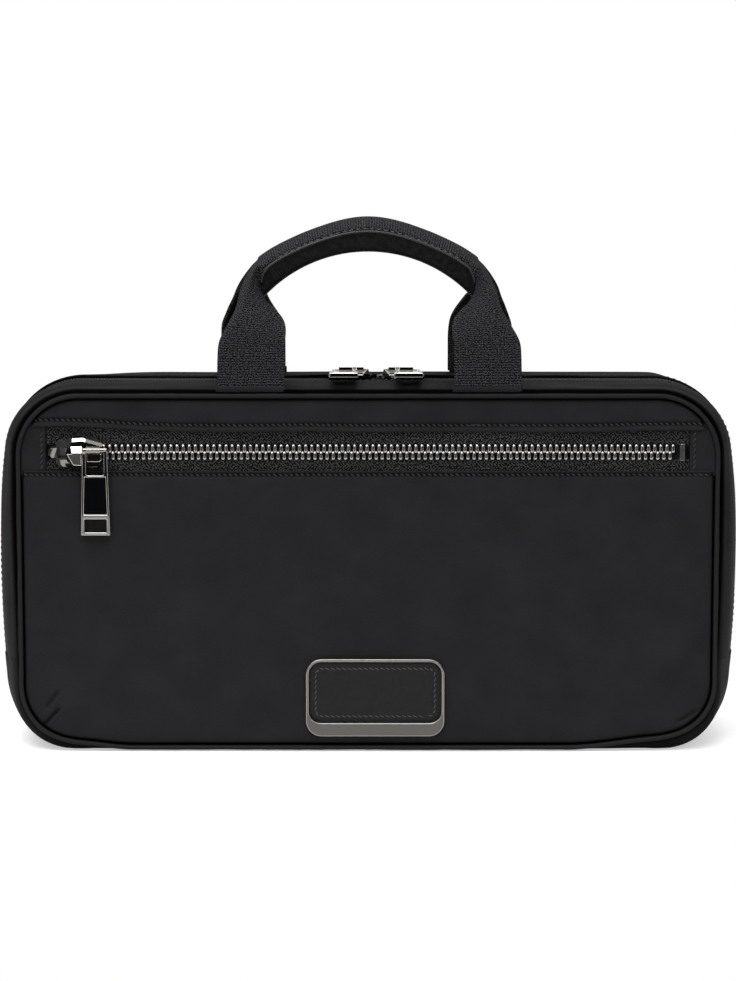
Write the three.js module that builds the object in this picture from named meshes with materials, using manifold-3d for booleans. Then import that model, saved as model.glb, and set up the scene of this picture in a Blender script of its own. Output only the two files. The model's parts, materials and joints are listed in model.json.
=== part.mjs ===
// A slim black nylon cosmetic bag: piped front and back panels, a gusset with a zip over the top and down
// the sides, a front pocket closed by a metal zip, and a webbing handle with a wrapped grip.
// Millimetres. X runs to the right, the front faces -Y, Z is up, and the origin is the middle of the base.
import * as THREE from "three";
import { mergeVertices } from "three/addons/utils/BufferGeometryUtils.js";
import Module from "manifold-3d";

const wasm = await Module();
wasm.setup();

// The bag, measured over its piping
const bagWidth = 294;
const bagHeight = 152.5;
const bagDepth = 68;
const topCornerRadius = 27;
const bottomCornerRadius = 31;
const sideSwell = 8.7;
const topSwell = 1;
const swellFadeShare = 0.86;
const swellFadePower = 2.5;
const risePower = 2.6;

// Sheets
const clearance = 0.3;
const cutOverrun = 2;
const panelThickness = 1;
const gussetThickness = 1;
const liningThickness = 0.6;
const foamThickness = 2.5;
const boardThickness = 2;
const pocketRoom = 4.6;
const seamAllowance = 6;
const seamThickness = 0.6;

// Piping
const pipingDiameter = 3.2;
const panelSetBack = 1;

// Main zip
const mainZipY = 6;
const mainZipOpening = 15;
const mainZipEndHeight = 38;
const mainTapeWidth = 13;
const coilWidth = 2.9;
const coilHeight = 2.4;

// Pocket zip
const pocketZipDrop = 25.6;
const pocketZipHeight = bagHeight - pocketZipDrop;
const pocketOpening = 15.6;
const pocketTabWidth = 13.7;
const pocketOpeningWidth = bagWidth - 2 * pocketTabWidth;
const pocketTapeWidth = 8.5;
const pocketTapeOverlap = 1;
const tapeThickness = 0.6;
const toothPitch = 2.54;
const chainStartMargin = 8.4;
const chainEndMargin = 3;
const toothRootWidth = 1.36;
const toothHeadWidth = 0.8;
const toothReachLength = 0.6;
const toothHeight = 2.4;
const chainHalfWidth = 3.55;
const beadWidth = 1.4;
const beadHeight = 1.1;
const stopLength = 2;
const firstToothX = chainStartMargin - pocketOpeningWidth / 2;
const toothRows = Math.floor((pocketOpeningWidth - chainStartMargin - chainEndMargin) / toothPitch);

// Sliders
const sliderWidth = 12.1;
const sliderPlate = 0.9;
const sliderChannel = 3;
const flangeWidth = 2;
const flangeGap = 1.4;
const noseWidth = 4.2;
const sliderTailChamfer = 1.5;
const crownWidth = 11.8;
const crownHeight = 3.2;
const crownRidgeWidth = 3.6;
const crownNoseChamfer = 2.6;
const crownShoulder = 0.8;
const tunnelWall = 0.75;
const pocketSlider = { length: 22, nose: 3.3, crownStart: 7.5, pullX: 19.45 };
const mainSlider = { length: 20, nose: 2, crownStart: 2.4, pullX: 13.2 };
const pocketSliderMargin = 0.7;
const pocketSliderNoseX = pocketSliderMargin - pocketOpeningWidth / 2;
const mainSlidersMeetX = 3.4;

// Pulls
const pullThickness = 2.1;
const pullTopWidth = 10.3;
const pullTipWidth = 12.2;
const pullReach = 35.8;
const pullBar = 1.5;
const pullPinDiameter = 2;
const pullAxisY = 1.3;
const ringLength = 9.4;
const inlayLength = 15.4;
const inlayThickness = 0.5;
const inlayMargin = 1;
const windowLength = 5.5;
const windowWidth = 9.2;
const tipBar = 1.3;
const pocketPullLean = THREE.MathUtils.degToRad(1);
const mainPullRise = THREE.MathUtils.degToRad(5);

// Handle
const strapWidth = 28;
const strapThickness = 1.6;
const strapFootX = 49;
const strapFoldedWidth = 9.8;
const strapFoldedThickness = 4;
const strapSetBack = 3;
const strapInnerY = bagDepth / 2 - strapSetBack;
const strapLead = 5;
const strapBendShare = 0.42;
const strapElbowY = 24;
const strapElbowRise = 28;
const foldShares = [0.3, 0.82];
const gripChordLength = 92.6;
const gripEndRise = 43.5;
const gripRise = 19;
const gripEndSlant = THREE.MathUtils.degToRad(27);
const gripHeight = 13.6;
const gripWidth = 26.4;
const gripWall = 1.5;
const gripUpperShare = 0.46;
const gripCornerRadius = 3;

// Badge
const badgeWidth = 58;
const badgeHeight = 33;
const badgeRadius = 6.5;
const badgeThickness = 1.8;
const badgeRim = 1.2;
const badgeBand = 5.7;
const badgeX = 3;
const badgeZ = 23.3;
const leatherThickness = 1.4;

// Facets
const cornerSteps = 5;
const longSideSteps = 8;
const shortSideSteps = 5;
const depthSteps = 4;
const pipingSides = 6;
const gripSteps = 10;
const riseSteps = 10;
const arcSteps = 4;
const pinSides = 8;

// Levels measured inwards from the front or back plane
const pipingRadius = pipingDiameter / 2;
const panelBack = panelSetBack + panelThickness;
const seamFront = panelBack + clearance;
const gussetEdge = seamFront + seamThickness + clearance;
const tapeFront = panelBack + clearance;
const pocketChain = tapeFront + tapeThickness / 2;
const pocketSheetFront = panelBack + pocketRoom;
const frontFoamFront = pocketSheetFront + liningThickness + clearance;
const frontLiningFront = frontFoamFront + foamThickness + clearance;
const backFoamFront = panelBack + clearance;
const backLiningFront = backFoamFront + foamThickness + clearance;
const halfDepth = bagDepth / 2;
const halfGusset = halfDepth - gussetEdge;
const sheetInset = gussetThickness + clearance;
const panelInset = pipingDiameter + clearance;

const nylon = new THREE.MeshStandardMaterial({ color: 0x27262a, roughness: 0.6, metalness: 0 });
const webbing = new THREE.MeshStandardMaterial({ color: 0x1c1c1f, roughness: 0.8, metalness: 0 });
const tapeCloth = new THREE.MeshStandardMaterial({ color: 0x2a2a2c, roughness: 0.85, metalness: 0 });
const coilPlastic = new THREE.MeshStandardMaterial({ color: 0x18181a, roughness: 0.5, metalness: 0 });
const liningCloth = new THREE.MeshStandardMaterial({ color: 0x3c3c40, roughness: 0.8, metalness: 0 });
const foam = new THREE.MeshStandardMaterial({ color: 0x55555a, roughness: 0.95, metalness: 0 });
const board = new THREE.MeshStandardMaterial({ color: 0x303030, roughness: 0.7, metalness: 0 });
const leather = new THREE.MeshStandardMaterial({ color: 0x202020, roughness: 0.55, metalness: 0 });
const silver = new THREE.MeshStandardMaterial({ color: 0xbdbbb6, roughness: 0.25, metalness: 1 });
const gunmetal = new THREE.MeshStandardMaterial({ color: 0x76716c, roughness: 0.3, metalness: 1 });
const enamel = new THREE.MeshStandardMaterial({ color: 0x08080a, roughness: 0.12, metalness: 0 });

const group = new THREE.Group();

function add(name, geometry, material, parent = group) {
  const mesh = new THREE.Mesh(geometry, material);
  mesh.name = name;
  parent.add(mesh);
  return mesh;
}

// Solids and geometries
function solid(geometry) {
  const bare = new THREE.BufferGeometry();
  bare.setAttribute("position", geometry.getAttribute("position"));
  if (geometry.index) bare.setIndex(geometry.index);
  const merged = mergeVertices(bare, 1e-4);
  const vertProperties = new Float32Array(merged.attributes.position.array);
  const triVerts = new Uint32Array(merged.index.array);
  return new wasm.Manifold(new wasm.Mesh({ numProp: 3, vertProperties, triVerts }));
}

function geometryOf(manifold) {
  const mesh = manifold.getMesh();
  const geometry = new THREE.BufferGeometry();
  geometry.setAttribute("position", new THREE.BufferAttribute(mesh.vertProperties, 3));
  geometry.setIndex(new THREE.BufferAttribute(mesh.triVerts, 1));
  geometry.computeVertexNormals();
  return geometry;
}

function union(geometries) {
  return geometryOf(geometries.map(solid).reduce((whole, next) => whole.add(next)));
}

function cut(geometry, cutters) {
  return geometryOf(cutters.map(solid).reduce((whole, next) => whole.subtract(next), solid(geometry)));
}

function signedVolume(points, faces) {
  return faces.reduce((sum, [a, b, c]) => sum + points[a].dot(points[b].clone().cross(points[c])), 0);
}

// Skins a row of rings, each an even number of points: the first half runs along one side of the section
// and the second half comes back along the other, so that an end closes as a strip.
function loft(rings, closed = false) {
  const count = rings[0].length;
  const points = rings.flat();
  const faces = [];
  const spans = closed ? rings.length : rings.length - 1;
  for (let i = 0; i < spans; i += 1) {
    const here = i * count;
    const there = ((i + 1) % rings.length) * count;
    for (let k = 0; k < count; k += 1) {
      const next = (k + 1) % count;
      faces.push([here + k, there + k, there + next], [here + k, there + next, here + next]);
    }
  }
  if (!closed) {
    const last = (rings.length - 1) * count;
    for (let k = 0; k < count / 2 - 1; k += 1) {
      const far = count - 1 - k;
      faces.push([k, k + 1, far - 1], [k, far - 1, far]);
      faces.push([last + k, last + far - 1, last + k + 1], [last + k, last + far, last + far - 1]);
    }
  }
  if (signedVolume(points, faces) < 0) faces.forEach((face) => face.reverse());
  const geometry = new THREE.BufferGeometry().setFromPoints(points);
  geometry.setIndex(faces.flat());
  return geometry;
}

// A flat shape in X and Z, between two distances from the origin along Y
function sheet(shape, nearY, farY) {
  const geometry = new THREE.ExtrudeGeometry(shape, {
    depth: farY - nearY,
    bevelEnabled: false,
    curveSegments: arcSteps,
  });
  geometry.rotateX(Math.PI / 2);
  geometry.translate(0, farY, 0);
  return geometry;
}

function prism(shape, low, high) {
  const geometry = new THREE.ExtrudeGeometry(shape, {
    depth: high - low,
    bevelEnabled: false,
    curveSegments: arcSteps,
  });
  geometry.translate(0, 0, low);
  return geometry;
}

function polygon(points) {
  return new THREE.Shape(points.map(([x, y]) => new THREE.Vector2(x, y)));
}

function rectangle(left, bottom, right, top) {
  return polygon([
    [left, bottom],
    [right, bottom],
    [right, top],
    [left, top],
  ]);
}

function roundedRectangle(left, bottom, right, top, radius) {
  const shape = new THREE.Shape();
  shape.moveTo(left + radius, bottom);
  shape.lineTo(right - radius, bottom);
  shape.absarc(right - radius, bottom + radius, radius, -Math.PI / 2, 0);
  shape.lineTo(right, top - radius);
  shape.absarc(right - radius, top - radius, radius, 0, Math.PI / 2);
  shape.lineTo(left + radius, top);
  shape.absarc(left + radius, top - radius, radius, Math.PI / 2, Math.PI);
  shape.lineTo(left, bottom + radius);
  shape.absarc(left + radius, bottom + radius, radius, Math.PI, Math.PI * 1.5);
  return shape;
}

// The outline over the piping, as stations with a place, an outward direction and how far the gusset swells.
// It starts at the middle of the base and runs up the right side, over the top and down the left side.
function outlineStations() {
  const half = bagWidth / 2;
  const stations = [];
  const put = (x, z, angle) => stations.push({ x, z, nx: Math.cos(angle), nz: Math.sin(angle) });
  const line = (from, to, angle, steps) => {
    for (let i = 0; i < steps; i += 1) {
      const share = i / steps;
      put(from[0] + (to[0] - from[0]) * share, from[1] + (to[1] - from[1]) * share, angle);
    }
  };
  const arc = (x, z, radius, start) => {
    for (let i = 0; i < cornerSteps; i += 1) {
      const angle = start + ((Math.PI / 2) * i) / cornerSteps;
      put(x + radius * Math.cos(angle), z + radius * Math.sin(angle), angle);
    }
  };
  const low = half - bottomCornerRadius;
  const high = half - topCornerRadius;
  const shoulder = bagHeight - topCornerRadius;
  line([0, 0], [low, 0], -Math.PI / 2, longSideSteps / 2);
  arc(low, bottomCornerRadius, bottomCornerRadius, -Math.PI / 2);
  line([half, bottomCornerRadius], [half, mainZipEndHeight], 0, 1);
  line([half, mainZipEndHeight], [half, shoulder], 0, shortSideSteps);
  arc(high, shoulder, topCornerRadius, 0);
  line([high, bagHeight], [-high, bagHeight], Math.PI / 2, longSideSteps);
  arc(-high, shoulder, topCornerRadius, Math.PI / 2);
  line([-half, shoulder], [-half, mainZipEndHeight], Math.PI, shortSideSteps);
  line([-half, mainZipEndHeight], [-half, bottomCornerRadius], Math.PI, 1);
  arc(-low, bottomCornerRadius, bottomCornerRadius, Math.PI);
  line([-low, 0], [0, 0], -Math.PI / 2, longSideSteps / 2);
  return stations.map((station) => ({ ...station, swell: swellAt(station) }));
}

// The gusset swells most at mid height on the sides, a little on top, and stays flat below
function swellAt({ z, nx, nz }) {
  const offMiddle = Math.abs(z - bagHeight / 2) / (bagHeight / 2);
  const side = Math.max(0, 1 - swellFadeShare * offMiddle ** swellFadePower);
  return sideSwell * Math.abs(nx) * side + topSwell * Math.max(0, nz);
}

// Share of the swell that the gusset reaches at a distance y from the middle of its depth
function riseAt(y) {
  return 1 - Math.abs(y / halfGusset) ** risePower;
}

const stations = outlineStations();
const zipStart = stations.findIndex(({ x, z }) => x > 0 && z >= mainZipEndHeight);
const zipEnd = stations.findLastIndex(({ x, z }) => x < 0 && z >= mainZipEndHeight);
const upperRun = stations.slice(zipStart, zipEnd + 1);
const lowerRun = [...stations.slice(zipEnd), ...stations.slice(0, zipStart + 1)];

// A station's point, moved outwards by out and placed at y
function at(station, out, y) {
  return new THREE.Vector3(station.x + station.nx * out, y, station.z + station.nz * out);
}

function insetShape(inset) {
  return new THREE.Shape(
    stations.map((station) => new THREE.Vector2(station.x - station.nx * inset, station.z - station.nz * inset)),
  );
}

// The part of the inset outline between two heights
function panelBetween(low, high, nearY, farY) {
  const band = sheet(
    rectangle(-bagWidth, low, bagWidth, high),
    nearY - cutOverrun,
    farY + cutOverrun,
  );
  return geometryOf(solid(sheet(insetShape(panelInset), nearY, farY)).intersect(solid(band)));
}

// Piping: a round cord with the seam allowance of its sleeve, sewn between panel and gusset. side is -1 in front.
function piping(side) {
  const centre = halfDepth - pipingRadius;
  const tailNear = halfDepth - seamFront;
  const tailFar = tailNear - seamThickness;
  const rings = stations.map((station) => {
    const ring = [];
    for (let k = 0; k < pipingSides; k += 1) {
      const angle = Math.PI + (Math.PI / pipingSides) * (2 * k + 1);
      const out = pipingRadius * Math.cos(angle) - pipingRadius;
      ring.push(at(station, out, side * (centre + pipingRadius * Math.sin(angle))));
    }
    ring.push(at(station, -pipingDiameter, side * tailNear));
    ring.push(at(station, -seamAllowance, side * tailNear));
    ring.push(at(station, -seamAllowance, side * tailFar));
    ring.push(at(station, -pipingDiameter, side * tailFar));
    return ring;
  });
  return loft(rings, true);
}

// A gusset strip between two places in the depth, with a turned-in flange at each seam that it reaches
function gussetStrip(run, startY, endY, flangeAtStart, flangeAtEnd) {
  const rings = run.map((station, index) => {
    let along = 0;
    if (index === 0) along = clearance / 2;
    if (index === run.length - 1) along = -clearance / 2;
    const outer = [];
    const inner = [];
    if (flangeAtStart) {
      outer.push([-seamAllowance, startY]);
      inner.push([-seamAllowance, startY + seamThickness]);
    }
    for (let k = 0; k <= depthSteps; k += 1) {
      const y = startY + ((endY - startY) * k) / depthSteps;
      const out = station.swell * riseAt(y);
      const nudge = flangeAtStart && k === 0 ? seamThickness : 0;
      const nudgeBack = flangeAtEnd && k === depthSteps ? seamThickness : 0;
      outer.push([out, y]);
      inner.push([out - gussetThickness, y + nudge - nudgeBack]);
    }
    if (flangeAtEnd) {
      outer.push([-seamAllowance, endY]);
      inner.push([-seamAllowance, endY - seamThickness]);
    }
    const ring = [...outer, ...inner.reverse()].map(([out, y]) => at(station, out, y));
    const tangent = new THREE.Vector3(-station.nz, 0, station.nx).multiplyScalar(along);
    return ring.map((point) => point.add(tangent));
  });
  return loft(rings);
}

// A strip of the main zip that lies under the gusset's cloth, between two distances from the chain's middle
function zipStrip(side, near, far, outAbove, outBelow) {
  const rings = upperRun.map((station) => {
    const level = (offset) => {
      const cloth = station.swell * riseAt(mainZipY + side * offset) - gussetThickness - clearance;
      return cloth - tapeThickness / 2;
    };
    return [
      at(station, level(near) + outAbove, mainZipY + side * near),
      at(station, level(far) + outAbove, mainZipY + side * far),
      at(station, level(far) - outBelow, mainZipY + side * far),
      at(station, level(near) - outBelow, mainZipY + side * near),
    ];
  });
  return loft(rings);
}

const front = -halfDepth;
const gussetFront = -halfGusset;

function addShell() {
  const lowEdge = pocketZipHeight - pocketOpening / 2;
  const highEdge = pocketZipHeight + pocketOpening / 2;
  const near = front + panelSetBack;
  const far = front + panelBack;
  add("front_panel_upper", panelBetween(highEdge, bagHeight, near, far), nylon);
  add("pocket_front", panelBetween(-cutOverrun, lowEdge, near, far), nylon);
  const tabs = panelBetween(lowEdge + clearance, highEdge - clearance, near, far);
  const opening = sheet(
    rectangle(-pocketOpeningWidth / 2, lowEdge, pocketOpeningWidth / 2, highEdge),
    near - cutOverrun,
    far + cutOverrun,
  );
  const sides = solid(tabs).subtract(solid(opening)).decompose();
  const [left, right] = sides.sort((a, b) => a.boundingBox().min[0] - b.boundingBox().min[0]);
  add("pocket_zip_tab_left", geometryOf(left), nylon);
  add("pocket_zip_tab_right", geometryOf(right), nylon);
  add("front_piping", piping(-1), nylon);
  add("back_piping", piping(1), nylon);
  add("back_panel", sheet(insetShape(panelInset), halfDepth - panelBack, halfDepth - panelSetBack), nylon);
  const zipNear = mainZipY - mainZipOpening / 2;
  const zipFar = mainZipY + mainZipOpening / 2;
  add("gusset_front_band", gussetStrip(upperRun, gussetFront, zipNear, true, false), nylon);
  add("gusset_back_band", gussetStrip(upperRun, zipFar, halfGusset, false, true), nylon);
  add("gusset_bottom", gussetStrip(lowerRun, gussetFront, halfGusset, true, true), nylon);
}

function addInside() {
  const inner = insetShape(sheetInset);
  const padded = insetShape(seamAllowance + clearance);
  const frontSheet = (start, thickness) => sheet(inner, front + start, front + start + thickness);
  add("pocket_back_sheet", frontSheet(pocketSheetFront, liningThickness), liningCloth);
  add("front_foam", frontSheet(frontFoamFront, foamThickness), foam);
  add("front_lining", frontSheet(frontLiningFront, liningThickness), liningCloth);
  const backSheet = (shape, start, thickness) => sheet(shape, halfDepth - start - thickness, halfDepth - start);
  add("back_foam", backSheet(padded, backFoamFront, foamThickness), foam);
  add("back_lining", backSheet(inner, backLiningFront, liningThickness), liningCloth);
  const boardFront = front + frontLiningFront + liningThickness + clearance;
  const boardBack = halfDepth - backLiningFront - liningThickness - clearance;
  const reach = bagWidth / 2 - bottomCornerRadius;
  const boardLow = gussetThickness + clearance;
  const liningLow = boardLow + boardThickness + clearance;
  const boardShape = rectangle(-reach, boardLow, reach, boardLow + boardThickness);
  const liningShape = rectangle(-reach, liningLow, reach, liningLow + liningThickness);
  add("base_board", sheet(boardShape, boardFront, boardBack), board);
  add("base_lining", sheet(liningShape, boardFront, boardBack), liningCloth);
}

function addMainZip() {
  const coilNear = clearance / 2;
  const tapeNear = coilNear + coilWidth + clearance;
  const tapeFar = tapeNear + mainTapeWidth;
  const halfTape = tapeThickness / 2;
  const halfCoil = coilHeight / 2;
  add("main_tape_front", zipStrip(-1, tapeNear, tapeFar, halfTape, halfTape), tapeCloth);
  add("main_tape_back", zipStrip(1, tapeNear, tapeFar, halfTape, halfTape), tapeCloth);
  add("main_coil_front", zipStrip(-1, coilNear, coilNear + coilWidth, halfCoil, halfCoil), coilPlastic);
  add("main_coil_back", zipStrip(1, coilNear, coilNear + coilWidth, halfCoil, halfCoil), coilPlastic);
}

// Half a zip chain in its own plane: X along the chain, Y across it. side is 1 above the middle line.
function toothRow(side, start) {
  const tooth = polygon([
    [-toothRootWidth / 2, chainHalfWidth],
    [-toothHeadWidth / 2, -toothReachLength],
    [toothHeadWidth / 2, -toothReachLength],
    [toothRootWidth / 2, chainHalfWidth],
  ]);
  const chain = toothPitch * (toothRows - 1);
  const beadHigh = chainHalfWidth - clearance;
  const bead = prism(
    rectangle(start - toothPitch, beadHigh - beadWidth, start + chain + toothPitch / 2, beadHigh),
    -beadHeight / 2,
    beadHeight / 2,
  );
  const teeth = Array.from({ length: toothRows }, (_, index) => {
    const geometry = prism(tooth, -toothHeight / 2, toothHeight / 2);
    geometry.translate(start + index * toothPitch, 0, 0);
    return solid(geometry);
  });
  const row = wasm.Manifold.union([solid(bead), ...teeth]);
  const flipped = side < 0 ? row.mirror([0, 1, 0]) : row;
  return geometryOf(flipped);
}

const pocketPlane = new THREE.Group();
pocketPlane.position.set(0, front + pocketChain, pocketZipHeight);
pocketPlane.rotation.x = Math.PI / 2;
group.add(pocketPlane);

function addPocketZip() {
  const chainEnd = firstToothX + toothPitch * toothRows;
  const half = pocketOpeningWidth / 2 + pocketTapeOverlap;
  const near = chainHalfWidth + clearance;
  const halfTape = tapeThickness / 2;
  const tape = (low, high) => prism(rectangle(-half, low, half, high), -halfTape, halfTape);
  add("pocket_tape_upper", tape(near, near + pocketTapeWidth), tapeCloth, pocketPlane);
  add("pocket_tape_lower", tape(-near - pocketTapeWidth, -near), tapeCloth, pocketPlane);
  add("pocket_teeth_upper", toothRow(1, firstToothX), silver, pocketPlane);
  add("pocket_teeth_lower", toothRow(-1, firstToothX + toothPitch / 2), silver, pocketPlane);
  const stop = rectangle(chainEnd + clearance, -chainHalfWidth, chainEnd + clearance + stopLength, chainHalfWidth);
  add("pocket_zip_stop", prism(stop, -toothHeight / 2, toothHeight / 2), silver, pocketPlane);
}

// A slider in its chain's plane: the nose tip at X 0, the tail towards +X, and the pull on the -Y side
function sliderPlateShape({ length, nose }) {
  const half = sliderWidth / 2;
  const noseHalf = noseWidth / 2;
  const point = noseHalf / 2;
  const chamfer = sliderTailChamfer;
  const side = [
    [length, half - chamfer],
    [length - chamfer, half],
    [nose + point, half],
    [nose, half - point],
    [nose, noseHalf],
    [nose / 2, noseHalf],
    [0, point],
  ];
  return polygon([...side, ...side.map(([x, y]) => [x, -y]).reverse()]);
}

function sliderShell(size) {
  const inner = sliderChannel / 2;
  const plate = prism(sliderPlateShape(size), inner, inner + sliderPlate);
  const half = sliderWidth / 2;
  const flange = (side) => {
    const low = side > 0 ? half - flangeWidth : -half;
    const shape = rectangle(size.nose + noseWidth / 4, low, size.length - sliderTailChamfer, low + flangeWidth);
    return prism(shape, flangeGap / 2, inner + sliderPlate / 2);
  };
  return union([plate, flange(1), flange(-1)]);
}

// The hooded bridge that holds the pull: a boss at the nose, a slot for the pull's side bar and a loop
function sliderCrown({ crownStart, pullX }) {
  const base = sliderChannel / 2 + sliderPlate / 2;
  const plateTop = sliderChannel / 2 + sliderPlate;
  const top = plateTop + crownHeight;
  const half = crownWidth / 2;
  const ridgeHigh = pullAxisY + crownRidgeWidth / 2;
  const ridgeLow = pullAxisY - crownRidgeWidth / 2;
  const section = polygon([
    [-half, base],
    [half, base],
    [half, plateTop + crownShoulder],
    [ridgeHigh, top],
    [ridgeLow, top],
    [-half, plateTop + crownShoulder],
  ]);
  const ringHalf = pullTopWidth / 2;
  const slotStart = pullX - ringHalf - clearance;
  const slotEnd = pullX - ringHalf + pullBar + clearance;
  const loopEnd = pullX + ringHalf - pullBar - clearance * 2;
  const body = new THREE.ExtrudeGeometry(section, { depth: loopEnd - crownStart, bevelEnabled: false });
  body.rotateX(Math.PI / 2);
  body.rotateZ(Math.PI / 2);
  body.translate(crownStart, 0, 0);
  const tunnelRadius = crownHeight / 2 - tunnelWall / 2;
  const tunnelLength = loopEnd - slotStart + cutOverrun;
  const tunnel = new THREE.CylinderGeometry(tunnelRadius, tunnelRadius, tunnelLength, pinSides);
  tunnel.rotateZ(Math.PI / 2);
  tunnel.translate(slotStart + tunnelLength / 2, pullAxisY, pullAxisZ());
  const slotFar = pullAxisY + tunnelRadius;
  const slot = prism(
    rectangle(slotStart, -half - cutOverrun, slotEnd, slotFar),
    plateTop,
    top + cutOverrun,
  );
  const corner = (side) =>
    prism(
      polygon([
        [crownStart - cutOverrun, side * (half - crownNoseChamfer - cutOverrun)],
        [crownStart + crownNoseChamfer + cutOverrun, side * (half + cutOverrun)],
        [crownStart - cutOverrun, side * (half + cutOverrun)],
      ]),
      base - cutOverrun,
      top + cutOverrun,
    );
  const slope = new THREE.ExtrudeGeometry(
    polygon([
      [crownStart - cutOverrun, plateTop + crownShoulder - cutOverrun],
      [crownStart + crownHeight, top],
      [crownStart + crownHeight, top + cutOverrun],
      [crownStart - cutOverrun, top + cutOverrun],
    ]),
    { depth: crownWidth + 2 * cutOverrun, bevelEnabled: false },
  );
  slope.rotateX(Math.PI / 2);
  slope.translate(0, half + cutOverrun, 0);
  return cut(body, [tunnel, slot, corner(1), corner(-1), slope]);
}

function pullAxisZ() {
  return sliderChannel / 2 + sliderPlate + crownHeight / 2 - tunnelWall / 2;
}

// A pull in its own frame: the axis of its top bar at the origin, the tip towards -Y
function pullBody() {
  const topHalf = pullTopWidth / 2;
  const tipHalf = pullTipWidth / 2;
  const half = pullThickness / 2;
  const outline = polygon([
    [-topHalf, 0],
    [-tipHalf, -pullReach],
    [tipHalf, -pullReach],
    [topHalf, 0],
  ]);
  const pin = new THREE.CylinderGeometry(pullPinDiameter / 2, pullPinDiameter / 2, pullTopWidth, pinSides);
  pin.rotateZ(Math.PI / 2);
  const ringHalf = topHalf - pullBar;
  const ringTop = -half;
  const ring = prism(
    roundedRectangle(-ringHalf, ringTop - ringLength, ringHalf, half, pullBar / 2),
    -half - cutOverrun,
    half + cutOverrun,
  );
  const windowLow = -pullReach + tipBar;
  const window = prism(
    rectangle(-windowWidth / 2, windowLow, windowWidth / 2, windowLow + windowLength),
    -half - cutOverrun,
    half + cutOverrun,
  );
  const recess = prism(inlayShape(0), half - inlayThickness - clearance, half + cutOverrun);
  return union([cut(prism(outline, -half, half), [ring, window, recess]), pin]);
}

function inlayShape(inset) {
  const half = pullTopWidth / 2 - inlayMargin + clearance - inset;
  const top = -pullThickness / 2 - ringLength - inlayMargin - inset;
  const bottom = top - inlayLength + 2 * inset;
  return rectangle(-half, bottom, half, top);
}

function pullInlay() {
  const top = pullThickness / 2;
  return prism(inlayShape(clearance), top - inlayThickness, top);
}

// A slider with its pull, under a group in the chain's plane. mirror turns its tail towards -X.
function addSlider(parent, names, size, noseX, mirror, lean) {
  const flip = mirror ? -1 : 1;
  const place = new THREE.Group();
  place.position.x = noseX;
  place.scale.x = flip;
  parent.add(place);
  const top = union([sliderShell(size), sliderCrown(size)]);
  add(names.top, top, gunmetal, place);
  const base = geometryOf(solid(sliderShell(size)).mirror([0, 0, 1]));
  add(names.base, base, gunmetal, place);
  const swing = new THREE.Group();
  swing.position.set(size.pullX, pullAxisY, pullAxisZ());
  swing.rotation.x = lean;
  place.add(swing);
  add(names.pull, pullBody(), gunmetal, swing);
  add(names.inlay, pullInlay(), enamel, swing);
}

function sliderNames(prefix, suffix) {
  return {
    top: `${prefix}_slider${suffix}`,
    base: `${prefix}_slider_plate${suffix}`,
    pull: `${prefix}_pull${suffix}`,
    inlay: `${prefix}_pull_inlay${suffix}`,
  };
}

function addSliders() {
  addSlider(pocketPlane, sliderNames("pocket", ""), pocketSlider, pocketSliderNoseX, false, pocketPullLean);
  const topSwellAtZip = topSwell * riseAt(mainZipY);
  const mainPlane = new THREE.Group();
  const level = bagHeight + topSwellAtZip - gussetThickness - clearance - tapeThickness / 2;
  mainPlane.position.set(mainSlidersMeetX, mainZipY, level);
  group.add(mainPlane);
  addSlider(mainPlane, sliderNames("main", "_right"), mainSlider, clearance, false, -mainPullRise);
  addSlider(mainPlane, sliderNames("main", "_left"), mainSlider, -clearance, true, -mainPullRise);
}

// The grip follows an arc: its radius comes from chord and rise, and its ends are cut on a slant
const gripEndHeight = bagHeight + gripEndRise;
const gripCrownHeight = gripEndHeight + gripRise;
const gripRadius = ((gripChordLength / 2) ** 2 + gripRise ** 2) / (2 * gripRise);
const gripCentreZ = gripCrownHeight - gripRadius;
const gripHalfAngle = Math.asin(gripChordLength / 2 / gripRadius);

function gripPoint(angle, out, y) {
  const radius = gripRadius + out;
  return new THREE.Vector3(radius * Math.sin(angle), y, gripCentreZ + radius * Math.cos(angle));
}

function gripLoft(section) {
  const rings = Array.from({ length: gripSteps + 1 }, (_, index) => {
    const share = (2 * index) / gripSteps - 1;
    const slant = Math.tan(gripEndSlant) / gripRadius;
    return section.map(([out, y]) => gripPoint(share * (gripHalfAngle - out * slant), out, y));
  });
  return loft(rings);
}

// A channel that opens towards the middle of the grip, on its outer (1) or inner (-1) side
function gripChannel(side, depth) {
  const outer = gripHeight / 2;
  const half = gripWidth / 2;
  const corner = gripCornerRadius;
  const open = outer - depth;
  const shell = (inset) => [
    [side * open, half - inset],
    [side * (outer - corner), half - inset],
    [side * (outer - inset), half - corner],
    [side * (outer - inset), corner - half],
    [side * (outer - corner), inset - half],
    [side * open, inset - half],
  ];
  return gripLoft([...shell(0), ...shell(gripWall).reverse()]);
}

const strapOut = gripHeight / 2 - gripWall - clearance - strapFoldedThickness / 2;

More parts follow.
